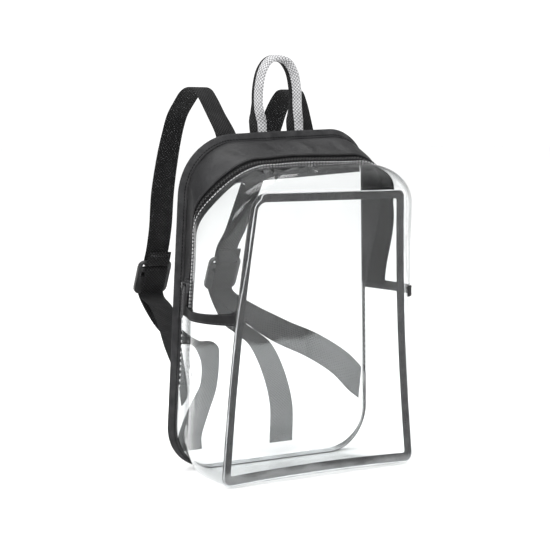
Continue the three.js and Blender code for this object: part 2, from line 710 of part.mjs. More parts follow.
// Handle: a two-tone webbing, flat where it is sewn and folded along its length over the arch.
// out is a share of HANDLE_APART, rise a share of HANDLE_RISE above the seam, back in millimetres behind
// the back seam, fold goes from 0, flat and square to the seam, to 1, folded and turned by HANDLE_TURN.
const HANDLE_ROWS = [
  { out: 1, rise: -0.2, back: 3.8, fold: 0 },
  { out: 1, rise: -0.07, back: 4.2, fold: 0 },
  { out: 1, rise: 0.1, back: 7.4, fold: 0 },
  { out: 1, rise: 0.21, back: 8.4, fold: 0.1 },
  { out: 1.02, rise: 0.33, back: 8.6, fold: 0.75 },
  { out: 1.03, rise: 0.45, back: 8.6, fold: 1 },
  { out: 1, rise: 0.64, back: 8.6, fold: 1 },
  { out: 0.8, rise: 0.85, back: 8.6, fold: 1 },
  { out: 0.44, rise: 0.97, back: 8.6, fold: 1 },
];

function handlePlaces() {
  const place = (side) => ({ out, rise, back, fold }) => ({
    point: new THREE.Vector3(
      HANDLE_SHIFT + side * HANDLE_APART * out,
      BACK_Y + back,
      BACK_TOP + HANDLE_RISE * rise,
    ),
    fold,
    turn: -fold * THREE.MathUtils.degToRad(side > 0 ? HANDLE_TURN_RIGHT : HANDLE_TURN_LEFT),
  });
  const crest = { out: 0, rise: 1, back: 8.6, fold: 1 };
  const right = HANDLE_ROWS.map(place(1)).reverse();
  return [...HANDLE_ROWS.map(place(-1)), place(1)(crest), ...right];
}

// One half of the handle's section: tone is 1 for the light half, on the +x edge and then the front, -1 for
// the dark half. They meet HANDLE_SEAM towards the dark edge.
function makeHandleHalf(tone) {
  const places = handlePlaces();
  const curve = new THREE.CatmullRomCurve3(places.map(({ point }) => point), false, 'centripetal');
  const spans = places.length - 1;
  const stepsEach = 3;
  const rows = Array.from({ length: spans * stepsEach + 1 }, (_, index) => {
    const share = index / (spans * stepsEach);
    const span = Math.min(spans - 1, Math.floor(share * spans + 1e-9));
    const between = (column) => lerp(places[span][column], places[span + 1][column], share * spans - span);
    const fold = between('fold');
    const turn = between('turn');
    const point = curve.getPoint(share);
    const tangent = curve.getTangent(share);
    const wide = new THREE.Vector3(Math.cos(turn), Math.sin(turn), 0);
    wide.addScaledVector(tangent, -wide.dot(tangent)).normalize();
    const thin = tangent.clone().cross(wide).normalize();
    const halfWidth = lerp(HANDLE_FLAT_WIDTH, HANDLE_FOLD_WIDTH, fold) / 2;
    const halfThickness = lerp(HANDLE_FLAT_THICKNESS, HANDLE_FOLD_THICKNESS, fold) / 2;
    const face = (sign) => [0, 0.45, 0.8, 1].map((reach) => {
      const edge = lerp(GAP / 2 - tone * HANDLE_SEAM, halfWidth, reach);
      const height = halfThickness * Math.sqrt(1 - reach ** 2 * 0.85);
      return point.clone().addScaledVector(wide, tone * edge).addScaledVector(thin, sign * height);
    });
    return { outer: face(1), inner: face(-1) };
  });
  return loft(rows);
}

// The slider's place: on the left side of the zip, at SLIDER_HEIGHT
function sliderFrame() {
  let s = 2 - BAND_SHARE;
  const shareAt = (position) => gussetShare(position, zipFront(position) - ZIP_OPENING / 2);
  while (gussetPoint(s, shareAt(s)).z < SLIDER_HEIGHT) s -= 0.0005;
  const out = gussetNormal(s, shareAt(s));
  const up = gussetPoint(s - 0.01, shareAt(s - 0.01)).sub(gussetPoint(s + 0.01, shareAt(s + 0.01)));
  up.addScaledVector(out, -up.dot(out)).normalize();
  const across = up.clone().cross(out);
  const foot = gussetPoint(s, shareAt(s)).addScaledVector(out, COIL_LOW + ZIP_COIL_HEIGHT + GAP);
  return new THREE.Matrix4().makeBasis(across, up, out).setPosition(foot);
}

function toManifold(geometry) {
  geometry.deleteAttribute('normal');
  geometry.deleteAttribute('uv');
  const merged = mergeVertices(geometry, 1e-4);
  return new wasm.Manifold(new wasm.Mesh({
    numProp: 3,
    vertProperties: new Float32Array(merged.attributes.position.array),
    triVerts: new Uint32Array(merged.index.array),
  }));
}

function fromManifold(solid) {
  const mesh = solid.getMesh();
  const geometry = new THREE.BufferGeometry();
  geometry.setAttribute('position', new THREE.BufferAttribute(mesh.vertProperties, 3));
  geometry.setIndex(new THREE.BufferAttribute(mesh.triVerts, 1));
  geometry.computeVertexNormals();
  return geometry;
}

// Slider body with the crown that traps the pull's cross bar. Local x runs across the zip, y up along it
// and z out of the bag.
const CROSS_BAR_HEIGHT = SLIDER_THICKNESS + PULL_THICKNESS / 2 + 2 * GAP;
function makeSlider() {
  const base = new THREE.Shape();
  const [x, y] = [SLIDER_WIDTH / 2, SLIDER_LENGTH / 2];
  base.moveTo(-x * 0.6, -y);
  base.lineTo(x * 0.6, -y);
  base.lineTo(x, y * 0.3);
  base.quadraticCurveTo(x, y, x * 0.5, y);
  base.lineTo(-x * 0.5, y);
  base.quadraticCurveTo(-x, y, -x, y * 0.3);
  const body = new THREE.ExtrudeGeometry(base, {
    depth: SLIDER_THICKNESS, bevelEnabled: false, curveSegments: 4,
  });
  const crown = new THREE.Shape();
  const [length, top] = [CROWN_LENGTH / 2, SLIDER_THICKNESS + CROWN_RISE];
  crown.moveTo(-length, SLIDER_THICKNESS - 1);
  crown.lineTo(length, SLIDER_THICKNESS - 1);
  crown.lineTo(length, top - CROWN_BAR);
  crown.lineTo(length - CROWN_BAR, top);
  crown.lineTo(-length + CROWN_BAR, top);
  crown.lineTo(-length, top - CROWN_BAR);
  const eye = new THREE.Path();
  const reach = length - CROWN_BAR;
  eye.moveTo(-reach, SLIDER_THICKNESS);
  eye.lineTo(-reach, top - CROWN_BAR);
  eye.lineTo(reach, top - CROWN_BAR);
  eye.lineTo(reach, SLIDER_THICKNESS);
  crown.holes.push(eye);
  const arch = new THREE.ExtrudeGeometry(crown, { depth: CROWN_WIDTH, bevelEnabled: false });
  arch.translate(0, 0, -CROWN_WIDTH / 2).applyMatrix4(new THREE.Matrix4().makeBasis(
    new THREE.Vector3(0, 1, 0), new THREE.Vector3(0, 0, 1), new THREE.Vector3(1, 0, 0),
  ));
  return fromManifold(toManifold(body).add(toManifold(arch)));
}

// Pull: a tapered tab that hangs from its cross bar. Its origin is the middle of the cross bar.
function makePull() {
  const half = PULL_WIDTH / 2;
  const bar = PULL_THICKNESS / 2;
  const tab = new THREE.Shape();
  tab.moveTo(-half + bar, bar);
  tab.lineTo(half - bar, bar);
  tab.lineTo(half, 0);
  tab.lineTo(half, -PULL_EYE - PULL_RAIL);
  tab.lineTo(half * 0.62, -PULL_EYE * 2);
  tab.lineTo(half * 0.8, -PULL_LENGTH + half);
  tab.quadraticCurveTo(half * 0.7, -PULL_LENGTH, 0, -PULL_LENGTH);
  tab.quadraticCurveTo(-half * 0.7, -PULL_LENGTH, -half * 0.8, -PULL_LENGTH + half);
  tab.lineTo(-half * 0.62, -PULL_EYE * 2);
  tab.lineTo(-half, -PULL_EYE - PULL_RAIL);
  tab.lineTo(-half, 0);
  const eye = new THREE.Path();
  const reach = half - PULL_RAIL;
  eye.moveTo(-reach, -bar);
  eye.lineTo(-reach, -PULL_EYE);
  eye.lineTo(reach, -PULL_EYE);
  eye.lineTo(reach, -bar);
  tab.holes.push(eye);
  const plate = new THREE.ExtrudeGeometry(tab, {
    depth: PULL_THICKNESS, bevelEnabled: false, curveSegments: 4,
  });
  return plate.translate(0, 0, -bar);
}

const material = (color, roughness, metalness = 0, opacity = 1) => new THREE.MeshStandardMaterial({
  color, roughness, metalness, opacity, transparent: opacity < 1,
});
const clearVinyl = () => material(0xf2f6f8, 0.08, 0, 0.25);
const blackCloth = () => material(0x2b2b2d, 0.85);
const blackTape = () => material(0x303032, 0.7);
const blackWebbing = () => material(0x1c1c1e, 0.9);
const blackPlastic = () => material(0x242426, 0.4);

const bag = new THREE.Group();
function addMesh(name, geometry, look) {
  const mesh = new THREE.Mesh(geometry, look);
  mesh.name = name;
  bag.add(mesh);
  return mesh;
}

addMesh('front_panel', makeFrontPanel(), clearVinyl());
addMesh('front_tape', makeFrontTape(), blackTape());
addMesh('gusset_upper_clear', makeUpperClear(), clearVinyl());
addMesh('gusset_lower_clear', makeLowerClear(), clearVinyl());
addMesh('gusset_fabric', makeFabric(), blackCloth());
addMesh('zip_tape', makeZipTape(), blackCloth());
addMesh('zip_coil', makeZipCoil(), blackPlastic());
addMesh('side_band_left', makeSideBand(-1), blackTape());
addMesh('side_band_right', makeSideBand(1), blackTape());
addMesh('back_panel', makeBackPanel(), clearVinyl());
addMesh('back_yoke', makeYoke(), blackCloth());
addMesh('back_binding', makeBackBinding(), blackTape());

const slider = addMesh('zip_slider', makeSlider(), material(0x1e1e20, 0.35, 0.6));
slider.applyMatrix4(sliderFrame());
const pull = addMesh('zip_pull', makePull(), material(0x1e1e20, 0.35, 0.6));
pull.applyMatrix4(sliderFrame().multiply(new THREE.Matrix4().makeTranslation(0, 0, CROSS_BAR_HEIGHT)));

for (const [name, side] of [['left', -1], ['right', 1]]) {
  addMesh(`strap_upper_${name}`, makeUpperStrap(name, side), blackWebbing());
  addMesh(`strap_lower_${name}`, makeLowerWebbing(name, side), blackWebbing());
  const buckle = addMesh(`buckle_${name}`, makeBuckle(), blackPlastic());
  buckle.applyMatrix4(new THREE.Matrix4()
    .makeBasis(new THREE.Vector3(1, 0, 0), BUCKLE_DOWN.clone().negate(), BUCKLE_OUT)
    .setPosition(bucklePlace(side, 0, 0, BUCKLE_SLIP)));
}
addMesh('handle_light', makeHandleHalf(1), material(0xb4b4b6, 0.9));
addMesh('handle_dark', makeHandleHalf(-1), blackWebbing());

export default bag;
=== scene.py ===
"""Looks of a clear stadium backpack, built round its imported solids.

Sizes are in millimetres, as in the part's source, and meshes are written in metres.
"""

import math

import bpy
import numpy as np
from mathutils import Matrix, Vector, noise


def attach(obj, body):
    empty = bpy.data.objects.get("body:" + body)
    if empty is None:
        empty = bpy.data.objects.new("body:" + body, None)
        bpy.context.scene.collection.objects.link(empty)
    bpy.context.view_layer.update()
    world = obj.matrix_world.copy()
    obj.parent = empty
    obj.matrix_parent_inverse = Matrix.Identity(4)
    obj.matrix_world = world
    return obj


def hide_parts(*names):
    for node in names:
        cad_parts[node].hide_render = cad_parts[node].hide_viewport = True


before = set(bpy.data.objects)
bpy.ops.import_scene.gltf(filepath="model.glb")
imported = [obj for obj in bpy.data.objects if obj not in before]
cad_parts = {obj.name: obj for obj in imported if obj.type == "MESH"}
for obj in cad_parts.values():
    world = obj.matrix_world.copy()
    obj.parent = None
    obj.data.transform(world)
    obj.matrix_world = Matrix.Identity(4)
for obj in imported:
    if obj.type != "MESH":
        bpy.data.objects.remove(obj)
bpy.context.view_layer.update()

MM = 0.001

# Sizes shared with the solids
BACK_Y = 40.0
FRONT_Y = -40.0
FRONT_LEAN = 5.6
FRONT_DISH = 5.0
FRONT_BOTTOM = 3.0
FRONT_TOP = 255.0
BACK_TOP = 297.0
BELLY_SHARE = 0.42
BAND_HEIGHT = 155.0
BAND_RISE = 7.0
MITRE = 2.0
VINYL = 1.0
FABRIC = 1.2
TAPE = 0.8
GAP = 0.3
FRONT_TAPE_WIDTH = 8.5
BAND_WIDTH = 8.5
YOKE_DEPTH = 35.5
YOKE_TILT = 0.06
YOKE_LAP = 8.0
ZIP_OPENING = 10.0
ZIP_TAPE_FRONT = 8.0
ZIP_TAPE_BACK = 4.0
ZIP_COIL_HEIGHT = 1.5
WEBBING = 25.0
WEBBING_THICKNESS = 1.6
BAND_SHARE = 0.46
SEAM_EDGE = VINYL / 2 + GAP

# The clear sheets are drawn thinner than their solids, and stitches stand this far off what they hold
CLEAR_THICKNESS = 0.5
STITCH_LIFT = 0.1

# The outlines of the front seam, of the widest ring between the seams, and of the back seam
FRONT = dict(bottom=FRONT_BOTTOM, top=FRONT_TOP, bottom_half=102.5, top_half=80.5, foot=8, shoulder=8,
             slumped=17, arch=2, tilt=0, skew=4)
BELLY = dict(bottom=0.5, top=275.5, bottom_half=110, top_half=106, foot=26, shoulder=40, slumped=75, arch=0,
             tilt=0.02, skew=0)
BACK = dict(bottom=0.5, top=BACK_TOP, bottom_half=104, top_half=93, foot=40, shoulder=34, slumped=50, arch=0,
            tilt=0.04, skew=4)
# Shares of a half outline where its base, foot, side up to the band, upper side, shoulder and top end
STRETCH_ENDS = [0.15, 0.28, BAND_SHARE, 0.62, 0.86, 1.0]
GUSSET_ROWS = [
    # share of the half outline, zip's distance from the back seam, flare of the binding
    (0, 20, 0),
    (0.15, 20, 0),
    (0.28, 20, 0.7),
    (BAND_SHARE, 22, 0.71),
    (0.62, 42, 0.71),
    (0.74, 50, 0.8),
    (0.86, 45, 0.88),
    (1, 42, 0.92),
]


# Outlines and the gusset's surface
def moved_in(point, into, out_of, distance):
    inwards = np.array([-into[1] - out_of[1], into[0] + out_of[0]])
    return point + inwards * distance / (1 + into @ out_of)


def corner_arc(point, into, out_of, radius):
    turn = math.acos(np.clip(into @ out_of, -1, 1))
    reach = radius * math.tan(turn / 2)
    start = point - into * reach
    centre = start + np.array([-into[1], into[0]]) * radius

    def at(share):
        angle = turn * share
        c, s = np.cos(angle), np.sin(angle)
        d = start - centre
        return centre + np.stack([d[0] * c - d[1] * s, d[0] * s + d[1] * c], -1)

    return start, point + out_of * reach, at


def half_outline(z, side, inset):
    """Samples of one half outline: (u from 0, bottom centre, to 1, top centre; points of the right side)."""
    reach = z["top_half"] + side * z["skew"]
    foot_point = np.array([z["bottom_half"], z["bottom"]], float)
    shoulder_point = np.array([reach, z["top"] + side * z["tilt"] * reach])
    across = np.array([1.0, 0.0])
    up = (shoulder_point - foot_point) / np.linalg.norm(shoulder_point - foot_point)
    over = np.array([-1.0, -side * z["tilt"]])
    over /= np.linalg.norm(over)
    foot = moved_in(foot_point, across, up, inset)
    shoulder = moved_in(shoulder_point, up, over, inset)
    crest = np.array([0, z["top"] - inset / abs(over[0])])
    radius = z["shoulder"] if side > 0 else z["slumped"]
    foot_start, foot_end, foot_arc = corner_arc(foot, across, up, max(z["foot"] - inset, MITRE))
    shoulder_start, shoulder_end, shoulder_arc = corner_arc(shoulder, up, over, max(radius - inset, MITRE))
    band_height = BAND_HEIGHT + side * BAND_RISE
    band = foot + (shoulder - foot) * (band_height - foot[1]) / (shoulder[1] - foot[1])
    k = np.linspace(0, 1, 33)[:, None]
    bottom = np.array([0, foot[1]]) * (1 - k) + foot_start * k
    bottom[:, 1] += z["arch"] * (1 - k[:, 0] ** 2)
    parts = [
        bottom,
        foot_arc(k[:, 0]),
        foot_end * (1 - k) + band * k,
        band * (1 - k) + shoulder_start * k,
        shoulder_arc(k[:, 0]),
        shoulder_end * (1 - k) + crest * k,
    ]
    starts = [0, *STRETCH_ENDS[:-1]]
    u = [a + (b - a) * k[:, 0] for a, b in zip(starts, STRETCH_ENDS)]
    first = [slice(None)] + [slice(1, None)] * 5
    return np.concatenate([x[f] for x, f in zip(u, first)]), np.concatenate([p[f] for p, f in zip(parts, first)])


def make_outline(sizes, inset=0.0):
    """A function from loop positions s (0 to 1 up the right side, 1 to 2 down the left) to points (x, z)."""
    u_right, right = half_outline(sizes, 1, inset)
    u_left, left = half_outline(sizes, -1, inset)
    s = np.concatenate([u_right, 2 - u_left[::-1][1:]])
    x = np.concatenate([right[:, 0], -left[::-1][1:, 0]])
    z = np.concatenate([right[:, 1], left[::-1][1:, 1]])

    def at(position):
        turned = np.mod(position, 2)
        return np.interp(turned, s, x), np.interp(turned, s, z)

    return at


front_outline = make_outline(FRONT)
belly_outline = make_outline(BELLY)
back_outline = make_outline(BACK)


def up_share(s):
    turned = np.mod(s, 2)
    return np.where(turned <= 1, turned, 2 - turned)


def smooth(x):
    x = np.clip(x, 0, 1)
    return x * x * (3 - 2 * x)


def column(s, index):
    """A column of GUSSET_ROWS at loop positions s: 1 is the zip's distance, 2 the binding's flare."""
    up = up_share(np.asarray(s, float))
    rows = np.array(GUSSET_ROWS, float)
    i = np.clip(np.searchsorted(rows[:, 0], up), 1, len(rows) - 1)
    share = smooth((up - rows[i - 1, 0]) / (rows[i, 0] - rows[i - 1, 0]))
    return rows[i - 1, index] * (1 - share) + rows[i, index] * share


def front_plane(z):
    share = np.clip((z - FRONT_BOTTOM) / (FRONT_TOP - FRONT_BOTTOM), 0, 1)
    return FRONT_Y - FRONT_LEAN * share + FRONT_DISH * np.sin(np.pi * share)


def gusset(s, t):
    """Points of the gusset: t is 0 at the front seam and 1 at the back seam."""
    s, t = np.broadcast_arrays(np.asarray(s, float), np.asarray(t, float))
    fx, fz = front_outline(s)
    bx, bz = back_outline(s)
    mx, mz = belly_outline(s)
    is_front = t < BELLY_SHARE
    rise = np.sqrt(np.clip(1 - (1 - t / BELLY_SHARE) ** 2, 0, 1))
    fall = 0.5 + 0.5 * np.cos(np.pi * (t - BELLY_SHARE) / (1 - BELLY_SHARE))
    swell = np.where(is_front, rise, fall)
    x = np.where(is_front, fx, bx) * (1 - swell) + mx * swell
    z = np.where(is_front, fz, bz) * (1 - swell) + mz * swell
    front_y = front_plane(fz)
    return np.stack([x, front_y + (BACK_Y - front_y) * t, z], -1)


def unit(v):
    return v / np.maximum(np.linalg.norm(v, axis=-1, keepdims=True), 1e-12)


def gusset_normal(s, t):
    step = 0.002
    across = gusset(s, np.minimum(1, t + step)) - gusset(s, np.maximum(0, t - step))
    along = gusset(s + step, t) - gusset(s - step, t)
    return unit(np.cross(across, along))


def lengths(points, axis):
    """How far each point lies along the points, from the first one of the axis."""
    steps = np.linalg.norm(np.diff(points, axis=axis), axis=-1)
    start = np.zeros_like(np.take(steps, [0], axis=axis))
    return np.concatenate([start, np.cumsum(steps, axis=axis)], axis=axis)


def gusset_share(s, distance, from_back=True):
    """The share t at a distance along the gusset from the back seam, or from the front seam."""
    s = np.asarray(s, float)
    t = np.linspace(1, 0, 121) if from_back else np.linspace(0, 1, 121)
    walked = lengths(gusset(s[:, None], t[None, :]), 1)
    distance = np.broadcast_to(distance, s.shape)
    return np.array([np.interp(d, w, t) for d, w in zip(distance, walked)])


def evenly(start, end, spacing, t=0.6):
    """Loop positions from start to end that lie about spacing apart along the gusset."""
    s = np.linspace(start, end, 1601)
    walked = lengths(gusset(s, t), 0)
    count = max(2, round(walked[-1] / spacing) + 1)
    return np.interp(np.linspace(0, walked[-1], count), walked, s)


# Meshes
def add_object(name, vertices, faces, uv=None, material=None, smooth_angle=50):
    """A mesh object from points in millimetres. uv gives millimetres across and along for each point."""
    mesh = bpy.data.meshes.new(name)
    mesh.from_pydata((np.asarray(vertices) * MM).tolist(), [], faces)
    mesh.update()
    if uv is not None:
        layer = mesh.uv_layers.new(name="weave")
        index = np.zeros(len(mesh.loops), np.int32)
        mesh.loops.foreach_get("vertex_index", index)
        layer.data.foreach_set("uv", np.asarray(uv, np.float32)[index].ravel())
    obj = bpy.data.objects.new(name, mesh)
    bpy.context.scene.collection.objects.link(obj)
    mesh.polygons.foreach_set("use_smooth", [True] * len(mesh.polygons))
    mesh.set_sharp_from_angle(angle=math.radians(smooth_angle))
    if material:
        mesh.materials.append(material)
    return obj


def grid_faces(rows, columns, close_rows=False, close_columns=False):
    r = np.arange(rows if close_rows else rows - 1)
    c = np.arange(columns if close_columns else columns - 1)
    r, c = [x.ravel() for x in np.meshgrid(r, c, indexing="ij")]
    r1, c1 = (r + 1) % rows, (c + 1) % columns
    return np.stack([r * columns + c, r * columns + c1, r1 * columns + c1, r1 * columns + c], 1).tolist()


def sheet_object(name, points, material, thickness, close_rows=False):
    """A sheet through a grid of points, thickened to both sides."""
    rows, columns = points.shape[:2]
    uv = np.stack([lengths(points, 1), lengths(points, 0)], -1).reshape(-1, 2)
    obj = add_object(name, points.reshape(-1, 3), grid_faces(rows, columns, close_rows), uv, material)
    solid = obj.modifiers.new("thickness", "SOLIDIFY")
    solid.thickness = thickness * MM
    solid.offset = 0
    solid.use_even_offset = False
    return obj


def tube_object(name, loops, material, uv):
    """A closed solid through loops of points, with a cap on each end."""
    rows, columns = loops.shape[:2]
    faces = grid_faces(rows, columns, close_columns=True)
    faces.append(list(range(columns))[::-1])
    faces.append(list(range((rows - 1) * columns, rows * columns)))
    obj = add_object(name, loops.reshape(-1, 3), faces, uv, material)
    fix_normals(obj)
    return obj


def fix_normals(obj):
    """Turns a closed mesh inside out if its volume is negative."""
    mesh = obj.data
    mesh.calc_loop_triangles()
    co = np.zeros(len(mesh.vertices) * 3)
    mesh.vertices.foreach_get("co", co)
    co = co.reshape(-1, 3)
    tri = np.array([t.vertices[:] for t in mesh.loop_triangles])
    a, b, c = co[tri[:, 0]], co[tri[:, 1]], co[tri[:, 2]]
    if np.einsum("ij,ij->i", a, np.cross(b, c)).sum() < 0:
        mesh.flip_normals()


def waves(points, scale, amount, shift=0.0):
    """Soft unevenness: one value a point, about amount at most, changing over scale millimetres."""
    flat = points.reshape(-1, 3) / scale + shift
    values = np.array([noise.noise(Vector(p)) for p in flat])
    return (values * amount).reshape(points.shape[:-1])


def creases(points, table):
    """The height of creases at points. A row of the table is (places along it, width, height at its middle)."""
    height = np.zeros(points.shape[:-1])
    for places, width, depth in table:
        best = np.full(points.shape[:-1], np.inf)
        fade = np.zeros(points.shape[:-1])
        total = len(places) - 1
        for i, (a, b) in enumerate(zip(places[:-1], places[1:])):
            a, b = np.asarray(a, float), np.asarray(b, float)
            along = b - a
            share = np.clip(((points - a) @ along) / (along @ along), 0, 1)
            distance = np.linalg.norm(points - a - share[..., None] * along, axis=-1)
            nearer = distance < best
            best = np.where(nearer, distance, best)
            fade = np.where(nearer, (i + share) / total, fade)
        height += depth * np.exp(-(best / width) ** 2) * np.sin(np.pi * np.clip(fade, 0.04, 0.96))
    return height


# Materials
class Look:
    """A material or a world with its nodes. add() sets values on the new node's sockets, or links them."""

    def __init__(self, name, kind="Material"):
        data = bpy.data.worlds if kind == "World" else bpy.data.materials
        self.owner = data.new(name)
        self.owner.use_nodes = True
        self.nodes = self.owner.node_tree.nodes
        self.links = self.owner.node_tree.links
        self.nodes.clear()
        self.output = self.nodes.new("ShaderNodeOutput" + kind)

    def add(self, kind, inputs=None, **settings):
        node = self.nodes.new("ShaderNode" + kind)
        for key, value in settings.items():
            setattr(node, key, value)
        for key, value in (inputs or {}).items():
            if isinstance(value, bpy.types.NodeSocket):
                self.links.new(value, node.inputs[key])
            else:
                node.inputs[key].default_value = value
        return node

    def math(self, operation, *values):
        node = self.add("Math", dict(enumerate(values)), operation=operation)
        return node.outputs[0]

    def mix(self, factor, a, b):
        """A blend of two colours."""
        node = self.add("Mix", {"Factor": factor}, data_type="RGBA")
        for socket, value in ((node.inputs[6], a), (node.inputs[7], b)):
            if isinstance(value, bpy.types.NodeSocket):
                self.links.new(value, socket)
            else:
                socket.default_value = (*value, 1)
        return node.outputs[2]

    def coordinates(self):
        """Object coordinates in millimetres."""
        node = self.add("TexCoord")
        return self.add("VectorMath", {0: node.outputs["Object"], "Scale": 1000.0}, operation="SCALE").outputs[0]

    def noise(self, size, detail=2.0, where=None):
        node = self.add("TexNoise", {"Vector": where or self.coordinates(), "Scale": 1 / size, "Detail": detail})
        return node.outputs["Fac"]

    def spread(self, value, low, high, out_low=0.0, out_high=1.0):
        node = self.add("MapRange", {"Value": value, "From Min": low, "From Max": high, "To Min": out_low,
                                     "To Max": out_high})
        return node.outputs[0]

    def weave(self, across, along):
        """Height of a plain weave with picks every `across` and `along` millimetres, from the mesh's own map."""
        place = self.add("SeparateXYZ", {0: self.add("UVMap", uv_map="weave").outputs[0]})
        waved = []
        for socket, pitch in (("X", across), ("Y", along)):
            turned = self.math("MULTIPLY", place.outputs[socket], 2 * math.pi / pitch)
            waved.append(self.math("SINE", turned))
        both = self.math("MULTIPLY", waved[0], waved[1])
        return self.math("MULTIPLY_ADD", both, 0.5, 0.5)

    def bump(self, height, distance, strength=1.0, normal=None):
        inputs = {"Height": height, "Distance": distance * MM, "Strength": strength}
        if normal is not None:
            inputs["Normal"] = normal
        return self.add("Bump", inputs).outputs[0]

    def finish(self, shader):
        self.links.new(shader, self.output.inputs["Surface"])
        return self.owner


def cloth_look(name, dark, light, across, along, rough, depth=0.12, wrinkle=0.0, grain=9.0, shine=0.15,
               contrast=0.3):
    """Woven cloth: the weave gives relief and painted shading, a colour darker between the picks and lighter on
    their crowns.
    """
    look = Look(name)
    weave = look.weave(across, along)
    patchy = look.spread(look.noise(grain, 4), 0.3, 0.7)
    base = look.mix(patchy, dark, light)
    # Painted shading: the weave darkens the colour between the picks and lightens it on their crowns.
    painted_weave_shading = look.mix(weave, (1 - contrast,) * 3, (1 + 2 * contrast,) * 3)
    color = look.add("Mix", {"Factor": 1.0, 6: base, 7: painted_weave_shading}, data_type="RGBA", blend_type="MULTIPLY").outputs[2]
    normal = look.bump(weave, depth)
    if wrinkle:
        normal = look.bump(look.noise(14, 3), wrinkle, normal=normal)
    shader = look.add("BsdfPrincipled", {
        "Base Color": color,
        "Roughness": look.spread(weave, 0, 1, rough - 0.1, rough + 0.08),
        "Normal": normal,
        "Sheen Weight": 0.02,
        "Sheen Roughness": 0.5,
        "Specular IOR Level": shine,
    })
    return look.finish(shader.outputs[0])


# How much of the light each surface of a clear sheet reflects where it is seen head-on
HEAD_ON_GLOSS = 0.014
CLEAR_TINT = (0.985, 0.99, 0.99)


def vinyl_look(name, haze, edge, ripple=0.25, low_haze_painted_light=(), turn_power=4.0):
    """Clear vinyl: see-through, with sharp reflections that grow edge-on, and a faint haze.

    Seen edge-on, a surface lets through the share edge of the light, and turn_power says how late it greys.
    Rows of (low, high, haze) paint a whitening haze low down, painted light standing in for light off the low
    tape: below the height low a row adds its haze, fading out up to high.
    """
    look = Look(name)
    relief = look.bump(look.noise(40, 1.5), ripple * 4)
    relief = look.bump(look.noise(7, 2), ripple * 0.15, normal=relief)
    facing = look.add("LayerWeight", {"Blend": 0.5, "Normal": relief}).outputs["Facing"]
    turned = look.math("POWER", facing, turn_power)
    clear = look.add("BsdfTransparent", {"Color": look.mix(turned, CLEAR_TINT, (edge, edge * 1.01, edge * 1.02))})
    rough = look.spread(look.noise(18, 5), 0.35, 0.7, 0.05, 0.14)
    gloss = look.add("BsdfAnisotropic", {"Color": (1, 1, 1, 1), "Roughness": rough, "Normal": relief})
    rise = look.math("POWER", facing, 5.0)
    fresnel = look.math("MULTIPLY_ADD", rise, 1 - HEAD_ON_GLOSS, HEAD_ON_GLOSS)
    sheet = look.add("MixShader", {0: fresnel, 1: clear.outputs[0], 2: gloss.outputs[0]})
    milky = look.add("BsdfDiffuse", {"Color": (0.9, 0.92, 0.93, 1)})
    dust_and_painted_haze = look.spread(look.noise(40, 4), 0.3, 0.8, haze * 0.4, haze * 1.8)
    # Each low row adds painted light: a whitening haze near the bottom, standing in for light off the low tape and
    # seam.
    for low, high, added in low_haze_painted_light:
        height = look.add("SeparateXYZ", {0: look.coordinates()}).outputs["Z"]
        uneven = look.math("MULTIPLY_ADD", look.noise(35, 2), min(24.0, high), height)
        dust_and_painted_haze = look.math("ADD", dust_and_painted_haze, look.spread(uneven, low, high, added, 0.0))
    shader = look.add("MixShader", {0: dust_and_painted_haze, 1: sheet.outputs[0], 2: milky.outputs[0]})
    return look.finish(shader.outputs[0])


def plastic_look(name, color, rough, metallic=0.0):
    """Moulded plastic or lacquered metal with a fine texture and a lighter colour on its sharp edges."""
    look = Look(name)
    fine = look.noise(0.8, 3)
    # A lighter colour on sharp edges, read from pointiness.
    edge_lightening = look.spread(look.add("NewGeometry").outputs["Pointiness"], 0.5, 0.62)
    lighter = tuple(min(1, 2.4 * c + 0.01) for c in color)
    shader = look.add("BsdfPrincipled", {
        "Base Color": look.mix(edge_lightening, color, lighter),
        "Roughness": look.spread(fine, 0.3, 0.7, rough - 0.06, rough + 0.08),
        "Normal": look.bump(fine, 0.03),
        "Metallic": metallic,
    })
    return look.finish(shader.outputs[0])


# The low haze rows paint light low on the front and back sheets.
vinyl = vinyl_look("clear_vinyl", haze=0.003, edge=0.97, ripple=0.15, low_haze_painted_light=[(20, 26, 0.09)])
back_vinyl = vinyl_look("clear_vinyl_back", haze=0.003, edge=0.97, low_haze_painted_light=[(123, 128, 0.075), (8, 14, 0.4)])
gusset_vinyl = vinyl_look("clear_vinyl_gusset", haze=0.004, edge=0.7, ripple=0.1, turn_power=5.0)
# The roll's heavy haze is a painted highlight: it whitens the roll into the bright line that light draws along the
# front seam.
rolled_vinyl_painted_highlight = vinyl_look("rolled_vinyl_painted_highlight", haze=0.25, edge=0.9, ripple=0.1)
cloth = cloth_look("black_cloth", (0.012, 0.012, 0.0125), (0.019, 0.019, 0.02), 1.0, 1.0, rough=0.42, depth=0.06,
                   wrinkle=0.9, grain=30, shine=0.14)
tape = cloth_look("black_tape", (0.018, 0.018, 0.019), (0.034, 0.034, 0.035), 1.6, 1.6, rough=0.65, depth=0.1,
                  shine=0.05)
band_tape = cloth_look("side_band_tape", (0.01, 0.01, 0.0105), (0.016, 0.016, 0.0165), 0.9, 1.3, rough=0.7,
                       depth=0.1, shine=0.1)
webbing = cloth_look("black_webbing", (0.006, 0.006, 0.0062), (0.01, 0.01, 0.0103), 3.2, 3.2, rough=0.78,
                     depth=0.4, shine=0.08, contrast=0.95)
grey_webbing = cloth_look("grey_webbing", (0.24, 0.24, 0.244), (0.29, 0.29, 0.295), 3.2, 3.2, rough=0.8,
                          depth=0.4, contrast=0.62)
dark_webbing = cloth_look("dark_handle_webbing", (0.006, 0.006, 0.0062), (0.012, 0.012, 0.0123), 3.2, 3.2,
                          rough=0.75, depth=0.4, shine=0.1, contrast=0.95)
